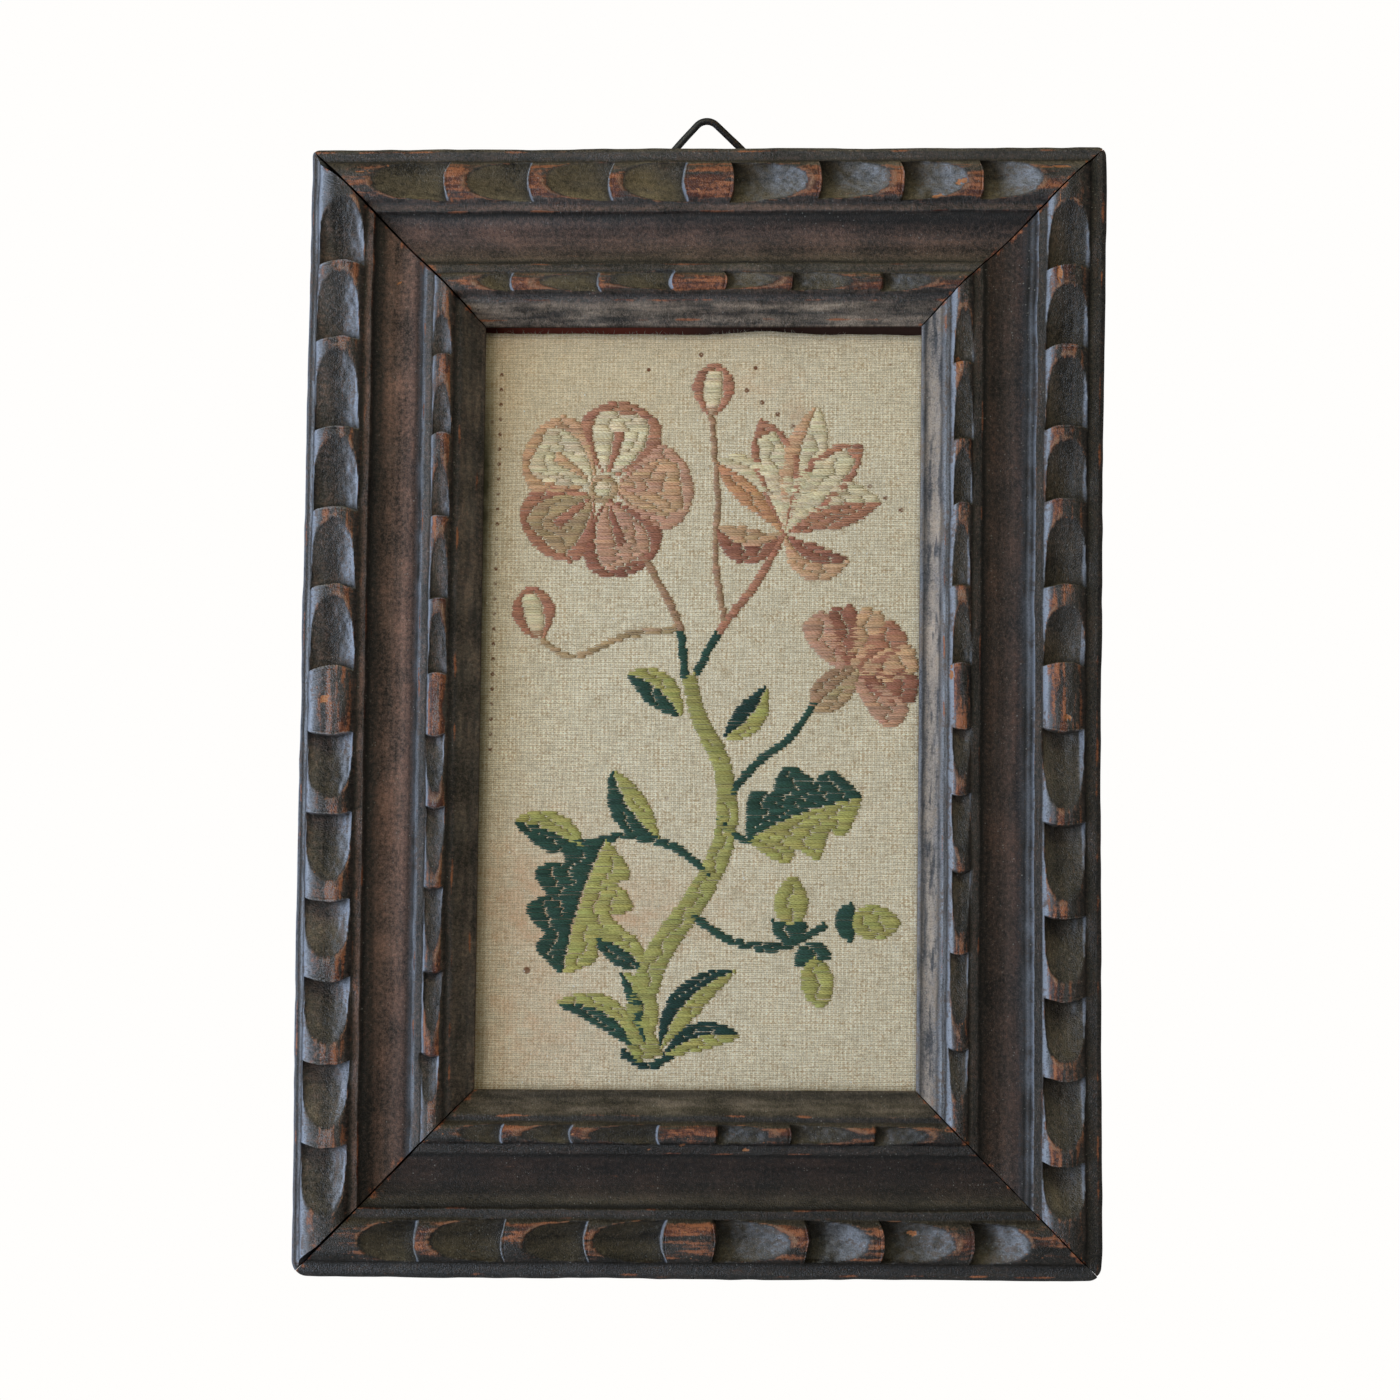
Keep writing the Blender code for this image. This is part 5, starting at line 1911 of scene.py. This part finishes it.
def leaf_motif() -> list[Patch]:
    """Leaves in two greens: one broad lobed leaf, an ivy leaf, almond leaves and blades at the foot."""
    patches = []
    lobed = Frond((-27, -37), 197.0, 40.0, 15.5, 0.04, 0.9, 0.6, 4, 0.46)
    ivy = Frond((13, -37), 70.0, 35.0, 14.0, -0.05, 0.85, 0.6, 3, 0.42)
    patches += halved(lobed, Wool.LIME, Wool.TEAL) + halved(ivy, Wool.TEAL, Wool.LIME)
    almonds = (
        ((-12, -37), -34.0, 24.0, 5.6, -0.08), ((-33, -40), -68.0, 22.0, 5.6, 0.06),
        ((-15, -74), -58.0, 19.0, 5.0, 0.08), ((6, -8), 40.0, 19.0, 4.6, 0.1),
        ((-6, -2), -52.0, 20.0, 5.0, 0.1), ((-17, -96), -62.0, 27.0, 4.6, 0.16),
        ((-15, -95), -20.0, 22.0, 4.2, 0.14), ((-11, -96), 44.0, 31.0, 4.8, -0.12),
        ((-10, -98), 76.0, 23.0, 4.0, -0.12),
    )
    for root, heading, length, half, bend in almonds:
        leaf = Frond(root, heading, length, half, bend, 0.95, 0.8)
        patches += halved(leaf, Wool.TEAL if heading < 0 else Wool.DEEP_TEAL, Wool.LIME)
    return patches


def acorn_motif() -> list[Patch]:
    """Three acorns in dark cups on short stalks."""
    patches = []
    for root, heading in (((31, -66), 168.0), ((38, -60), 92.0), ((25, -66), 4.0)):
        cup = Frond(root, heading, 11.0, 5.4, 0.0, 0.8, 0.6)
        nut = Frond(cup.point(0.4), heading, 14.5, 5.0, 0.0, 0.9, 0.6)
        patches += [Patch(Wool.LIME, (nut.strip(),)), Patch(Wool.TEAL, (cup.strip(-1, 1, 0.0, 0.55),))]
    return patches


MOTIFS = {
    "stitched_stalk": stalk_motif,
    "stitched_leaves": leaf_motif,
    "stitched_acorns": acorn_motif,
    "stitched_rose": rose_motif,
    "stitched_lily": lily_motif,
    "stitched_carnation": carnation_motif,
    "stitched_buds": bud_motif,
}


@dataclass(frozen=True)
class FrayedEdge:
    """Loose thread ends along the cloth's raw top edge."""

    count: int = 110
    radius: float = 0.05
    longest: float = 1.5
    sides: int = 5
    seed: int = 23

    def build(self, panel: Panel, cloth: GroundCloth, finish: Material) -> Piece:
        """Makes the threads: from the edge up and aside along a bowed line, thinner to the end."""
        chance = np.random.default_rng(self.seed)
        x0 = chance.uniform(-62.0, 40.0, self.count)[:, None]
        length = chance.uniform(0.5, 1.0, (self.count, 1)) ** 2 * self.longest
        lean = chance.normal(0.0, 0.7, (self.count, 1))
        curl = chance.normal(0.0, 0.5, (self.count, 1))
        share = np.linspace(0.0, 1.0, 6)[None, :]
        x = x0 + length * (np.sin(lean) * share + curl * share * share)
        z = cloth.top_edge(x0) - 0.4 + (length * np.cos(lean) + 0.3) * share
        height = cloth.front(x, z) - 0.2 + 0.12 * share * chance.normal(1.0, 1.0, (self.count, 1))
        radius = self.radius * (1.0 - 0.5 * share) + 0 * x
        first, second = stacked(radius, 0.0, 0.0), stacked(0.0, radius, 0.0)
        points, faces = tube_arrays(stacked(x, -height, z), first, second, self.sides)
        return new_piece("frayed_edge", panel.place_points(points), faces, finish, (), None)


@dataclass(frozen=True)
class LooseThread:
    """The bare thread of the frayed edge."""

    colour: Colour = (0.6, 0.56, 0.45)

    def build(self) -> Material:
        """A pale thread with darker fibres."""
        thread = Shader("loose_thread")
        fibre = thread.noise(thread.object_place(), 4000.0, 2.0)
        colour = thread.mix(fibre, self.colour, tuple(0.55 * part for part in self.colour))
        return thread.finish(Base_Color=colour, Roughness=0.9, Specular_IOR_Level=0.2)


@dataclass(frozen=True)
class HangingWire:
    """One iron wire bent by hand to a peak, its ends turned into the back of the top rail."""

    diameter: float = 2.1
    standoff: float = 1.4
    end_depth: float = 5.0
    left_leg: float = -13.2
    right_leg: float = 16.6
    foot: float = 143.5
    left_shoulder: float = 157.8
    right_shoulder: float = 157.4
    peak: tuple[float, float] = (0.6, 173.2)
    foot_radius: float = 2.2
    bend_radius: float = 4.0
    sides: int = 18
    seed: int = 37

    def route(self) -> Array:
        """The wire's middle line: straight runs with a true arc at each corner.

        An arc's centre lies on the corner's bisector, and its spokes turn evenly from one run's side to the
        other's.

        Returns:
            Evenly spaced points, in millimetres.
        """
        left, right, out = self.left_leg, self.right_leg, self.standoff
        corners = np.array([
            (left, -self.end_depth, self.foot), (left, out, self.foot), (left, out, self.left_shoulder),
            (self.peak[0], out, self.peak[1]), (right, out, self.right_shoulder), (right, out, self.foot),
            (right, -self.end_depth, self.foot),
        ])
        radii = (self.foot_radius, self.bend_radius, self.bend_radius, self.bend_radius, self.foot_radius)
        points = [corners[:1]]
        for before, corner, after, radius in zip(corners, corners[1:], corners[2:], radii):
            toward = (corner - before) / np.linalg.norm(corner - before)
            onward = (after - corner) / np.linalg.norm(after - corner)
            turn = math.acos(float(toward @ onward))
            inward = (onward - toward) / np.linalg.norm(onward - toward)
            middle = corner + inward * radius / math.cos(turn / 2)
            cut = radius * math.tan(turn / 2)
            spokes = corner - toward * cut - middle, corner + onward * cut - middle
            share = np.linspace(0.0, 1.0, 12)[:, None]
            arc = np.sin((1 - share) * turn) * spokes[0] + np.sin(share * turn) * spokes[1]
            points.append(middle + arc / math.sin(turn))
        points.append(corners[-1:])
        line = np.concatenate(points)
        travelled = np.concatenate([[0.0], np.cumsum(np.linalg.norm(np.diff(line, axis=0), axis=1))])
        even = np.linspace(0.0, travelled[-1], 200)
        return stacked(*(np.interp(even, travelled, line[:, axis]) for axis in range(3)))

    def build(self, panel: Panel, finish: Material) -> Piece:
        """Makes the wire: a ring across its line at each point, with small hammered flats and waves."""
        line = self.route()
        wander = ValueNoise(self.seed)
        steps = np.arange(len(line))
        line[:, 0] += 0.12 * wander(steps / 17.0, steps * 0 + 0.5)
        line[:, 2] += 0.08 * wander(steps / 13.0, steps * 0 + 7.5)
        tangent = np.gradient(line, axis=0)
        tangent /= np.linalg.norm(tangent, axis=1, keepdims=True)
        sideways = np.cross(tangent, np.array([0.0, 1.0, 0.0]))
        weak = np.linalg.norm(sideways, axis=1, keepdims=True)
        sideways = np.where(weak > 0.05, sideways / np.maximum(weak, 1e-6), np.array([1.0, 0.0, 0.0]))
        proud = np.cross(sideways, tangent)
        swell = self.diameter / 2 * (0.985 + 0.03 * wander(steps / 9.0, steps * 0 + 3.1))[:, None]
        points, faces = tube_arrays(line[None], (sideways * swell)[None], (proud * swell)[None], self.sides)
        offset = np.array([panel.centre_x + self.wire_shift(panel), panel.back_y, panel.centre_z])
        return new_piece("bent_wire", points[0] * MM + offset, faces, finish, ["hanging_loop"])

    def wire_shift(self, panel: Panel) -> float:
        """How far the wire's axis lies from the panel's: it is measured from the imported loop's own box."""
        low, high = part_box("hanging_loop")
        middle = (self.left_leg + self.right_leg) / 2 * MM
        return (low.x + high.x) / 2 - middle - panel.centre_x


@dataclass(frozen=True)
class OldIron:
    """Dark iron, pale bluish grey on the left leg, and flecked with rust."""

    dark: Colour = (0.028, 0.026, 0.026)
    pale_grey: Colour = (0.13, 0.14, 0.155)
    rust: Colour = (0.17, 0.08, 0.035)
    pale_from: float = 4.0
    pale_to: float = -6.0

    def build(self) -> Material:
        """The wire's material, on Object coordinates."""
        iron = Shader("old_iron")
        place = iron.object_place()
        x, _, _ = iron.parts(place)
        mottle = iron.noise(place, 900.0, 3.0, 0.6)
        scratch = iron.noise(place, 3600.0, 2.0, 0.6)
        pale = x.step(self.pale_from * MM, self.pale_to * MM) * (0.35 + 0.9 * mottle)
        rusty = (mottle + 0.5 * scratch).step(0.86, 1.0)
        colour = iron.layered(self.dark, (pale.held(), self.pale_grey), (rusty * 0.8, self.rust))
        rough = (0.42 + 0.35 * rusty + 0.25 * (scratch - 0.5)).held()
        metallic = 0.75 - 0.7 * rusty
        return iron.finish(
            Base_Color=colour,
            Metallic=metallic,
            Roughness=rough,
            Normal=iron.bump(mottle + scratch, 0.0002, 0.5),
        )


@dataclass(frozen=True)
class OldBoard:
    """A thin board: red paint gone pale with age on its front, bare aged wood on its back and edges."""

    paint: Colour = (0.16, 0.032, 0.018)
    worn: Colour = (0.11, 0.04, 0.024)
    bare: Colour = (0.3, 0.19, 0.11)
    grey: Colour = (0.16, 0.115, 0.08)
    near_black: Colour = (0.03, 0.022, 0.016)
    front_y: float = -6.1
    dark_from: float = -22.0
    dark_to: float = 6.0

    def build(self) -> Material:
        """The board's material, on Object coordinates."""
        board = Shader("old_board")
        place = board.object_place()
        x, y, _ = board.parts(place)
        grain = board.noise(place, 700.0, 4.0, 0.6, (1.0, 1.0, 0.06))
        cloud = board.noise(place, 90.0, 3.0, 0.6)
        bare = board.mix((grain - 0.5) * 2.2 + cloud, self.bare, self.grey)
        # The paint darker towards the right.
        darker_right = x.step(self.dark_from * MM, self.dark_to * MM) * 0.8
        paint = board.layered(self.paint, (cloud.step(0.45, 0.75) * 0.7, self.worn), (darker_right, self.near_black))
        front = y.step(self.front_y * MM + 0.0001, self.front_y * MM)
        colour = board.mix(front, bare, paint)
        return board.finish(
            Base_Color=colour,
            Roughness=0.75,
            Specular_IOR_Level=0.25,
            Normal=board.bump(grain, 0.0002, 0.6),
        )


@dataclass(frozen=True)
class PhotoCamera:
    """The camera that sees the panel as the photo does, aimed at a point of the flat back's plane."""

    distance: float = 800.0
    yaw_deg: float = 1.35
    pitch_deg: float = -3.1
    roll_deg: float = 0.14
    target_x: float = -0.8
    target_z: float = 3.0
    focal_pixels: float = 2790.0
    sensor: float = 36.0

    def build(self, panel: Panel) -> Piece:
        """Makes the camera: back along yaw and pitch from the target, turned by the roll."""
        yaw, pitch, roll = (math.radians(a) for a in (self.yaw_deg, self.pitch_deg, self.roll_deg))
        back = Vector((math.sin(yaw) * math.cos(pitch), -math.cos(yaw) * math.cos(pitch), math.sin(pitch)))
        level = Vector((math.cos(yaw), math.sin(yaw), 0.0))
        upward = back.cross(level)
        right = level * math.cos(roll) + upward * math.sin(roll)
        up = upward * math.cos(roll) - level * math.sin(roll)
        target = panel.middle + Vector((self.target_x, 0.0, self.target_z)) * MM
        data = bpy.data.cameras.new("photo_camera")
        data.sensor_width = self.sensor
        data.lens = self.focal_pixels * self.sensor / PHOTO_SIDE
        data.clip_start = 0.01
        data.clip_end = 20.0
        camera = new_object("photo_camera", data)
        turn = Matrix((right, up, back)).transposed().to_4x4()
        camera.matrix_world = Matrix.Translation(target + back * self.distance * MM) @ turn
        bpy.context.scene.camera = camera
        return camera


@dataclass(frozen=True)
class Softbox:
    """A soft rectangular light that looks at the panel's middle."""

    name: str
    place: tuple[float, float, float]
    size: tuple[float, float]
    power: float
    colour: Colour

    def build(self, panel: Panel) -> None:
        """Makes the light, placed in metres from the panel's middle."""
        data = bpy.data.lights.new(self.name, "AREA")
        data.shape = "RECTANGLE"
        data.size, data.size_y = self.size
        data.energy = self.power
        data.color = self.colour
        lamp = new_object(self.name, data)
        lamp.location = panel.middle + Vector(self.place)
        lamp.rotation_euler = (-Vector(self.place)).to_track_quat("-Z", "Y").to_euler()


@dataclass(frozen=True)
class Studio:
    """A plain pale floor, a white surround and soft lights."""

    floor_drop: float = 0.46
    floor_side: float = 1.5
    surround: float = 0.13
    lights: tuple[Softbox, ...] = (
        Softbox("window_left", (-0.98, -0.9, -0.15), (0.5, 1.1), 5.6, (1.0, 0.985, 0.975)),
        Softbox("window_side", (-1.15, -0.55, -0.3), (0.55, 1.3), 11.7, (0.58, 0.76, 1.0)),
        Softbox("sky_above", (0.1, -0.95, 1.05), (1.0, 0.6), 4.2, (1.0, 0.94, 0.6)),
    )

    def build(self, panel: Panel) -> None:
        """Makes the floor, the lights and the surround."""
        scene = bpy.context.scene
        scene.view_settings.view_transform = "Standard"
        half = self.floor_side / 2
        level = panel.centre_z - self.floor_drop
        corners = [(-half, -half, level), (half, -half, level), (half, half, level), (-half, half, level)]
        mesh = bpy.data.meshes.new("studio_floor")
        mesh.from_pydata(corners, [], [(0, 1, 2, 3)])
        plain = Shader("studio_floor")
        mesh.materials.append(plain.finish(Base_Color=(0.8, 0.8, 0.79), Roughness=0.7))
        new_object("studio_floor", mesh)
        for light in self.lights:
            light.build(panel)
        self.build_surround(scene)

    def build_surround(self, scene: bpy.types.Scene) -> None:
        """A white surround that lights the panel less than it shows."""
        world = bpy.data.worlds.new("studio_surround")
        world.use_nodes = True
        tree = world.node_tree
        tree.nodes.clear()
        ray = tree.nodes.new("ShaderNodeLightPath")
        strength = tree.nodes.new("ShaderNodeMapRange")
        strength.inputs["To Min"].default_value = self.surround
        strength.inputs["To Max"].default_value = 1.0
        light = tree.nodes.new("ShaderNodeBackground")
        light.inputs["Color"].default_value = (1.0, 0.99, 0.975, 1.0)
        output = tree.nodes.new("ShaderNodeOutputWorld")
        tree.links.new(ray.outputs["Is Camera Ray"], strength.inputs["Value"])
        tree.links.new(strength.outputs["Result"], light.inputs["Strength"])
        tree.links.new(light.outputs["Background"], output.inputs["Surface"])
        scene.world = world


def dress_board(finish: Material) -> None:
    """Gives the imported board, whose shape is right, its finish."""
    board = bpy.data.objects["backing_board"]
    for slot in board.material_slots:
        slot.material = finish


def main() -> None:
    """Builds the panel's finished surfaces in order."""
    logging.basicConfig(level=logging.INFO, format="%(name)s %(message)s")
    panel = Panel.from_frame()
    PhotoCamera().build(panel)
    Studio().build(panel)
    wood = StainedWood().build()
    moulding = Moulding()
    for rail in RAILS:
        rail.build(panel, moulding, wood)
    dress_board(OldBoard().build())
    HangingWire().build(panel, OldIron().build())
    cloth = GroundCloth()
    sheet = cloth.build(panel, AgedCloth().build(), CLOTH_STAINS)
    wool = WoolFinish().build()
    stitches = [
        Stitching().build(name, panel, cloth, wool, design(), seed)
        for seed, (name, design) in enumerate(MOTIFS.items(), start=61)
    ]
    fray = FrayedEdge().build(panel, cloth, LooseThread().build())


if __name__ == "__main__":
    main()
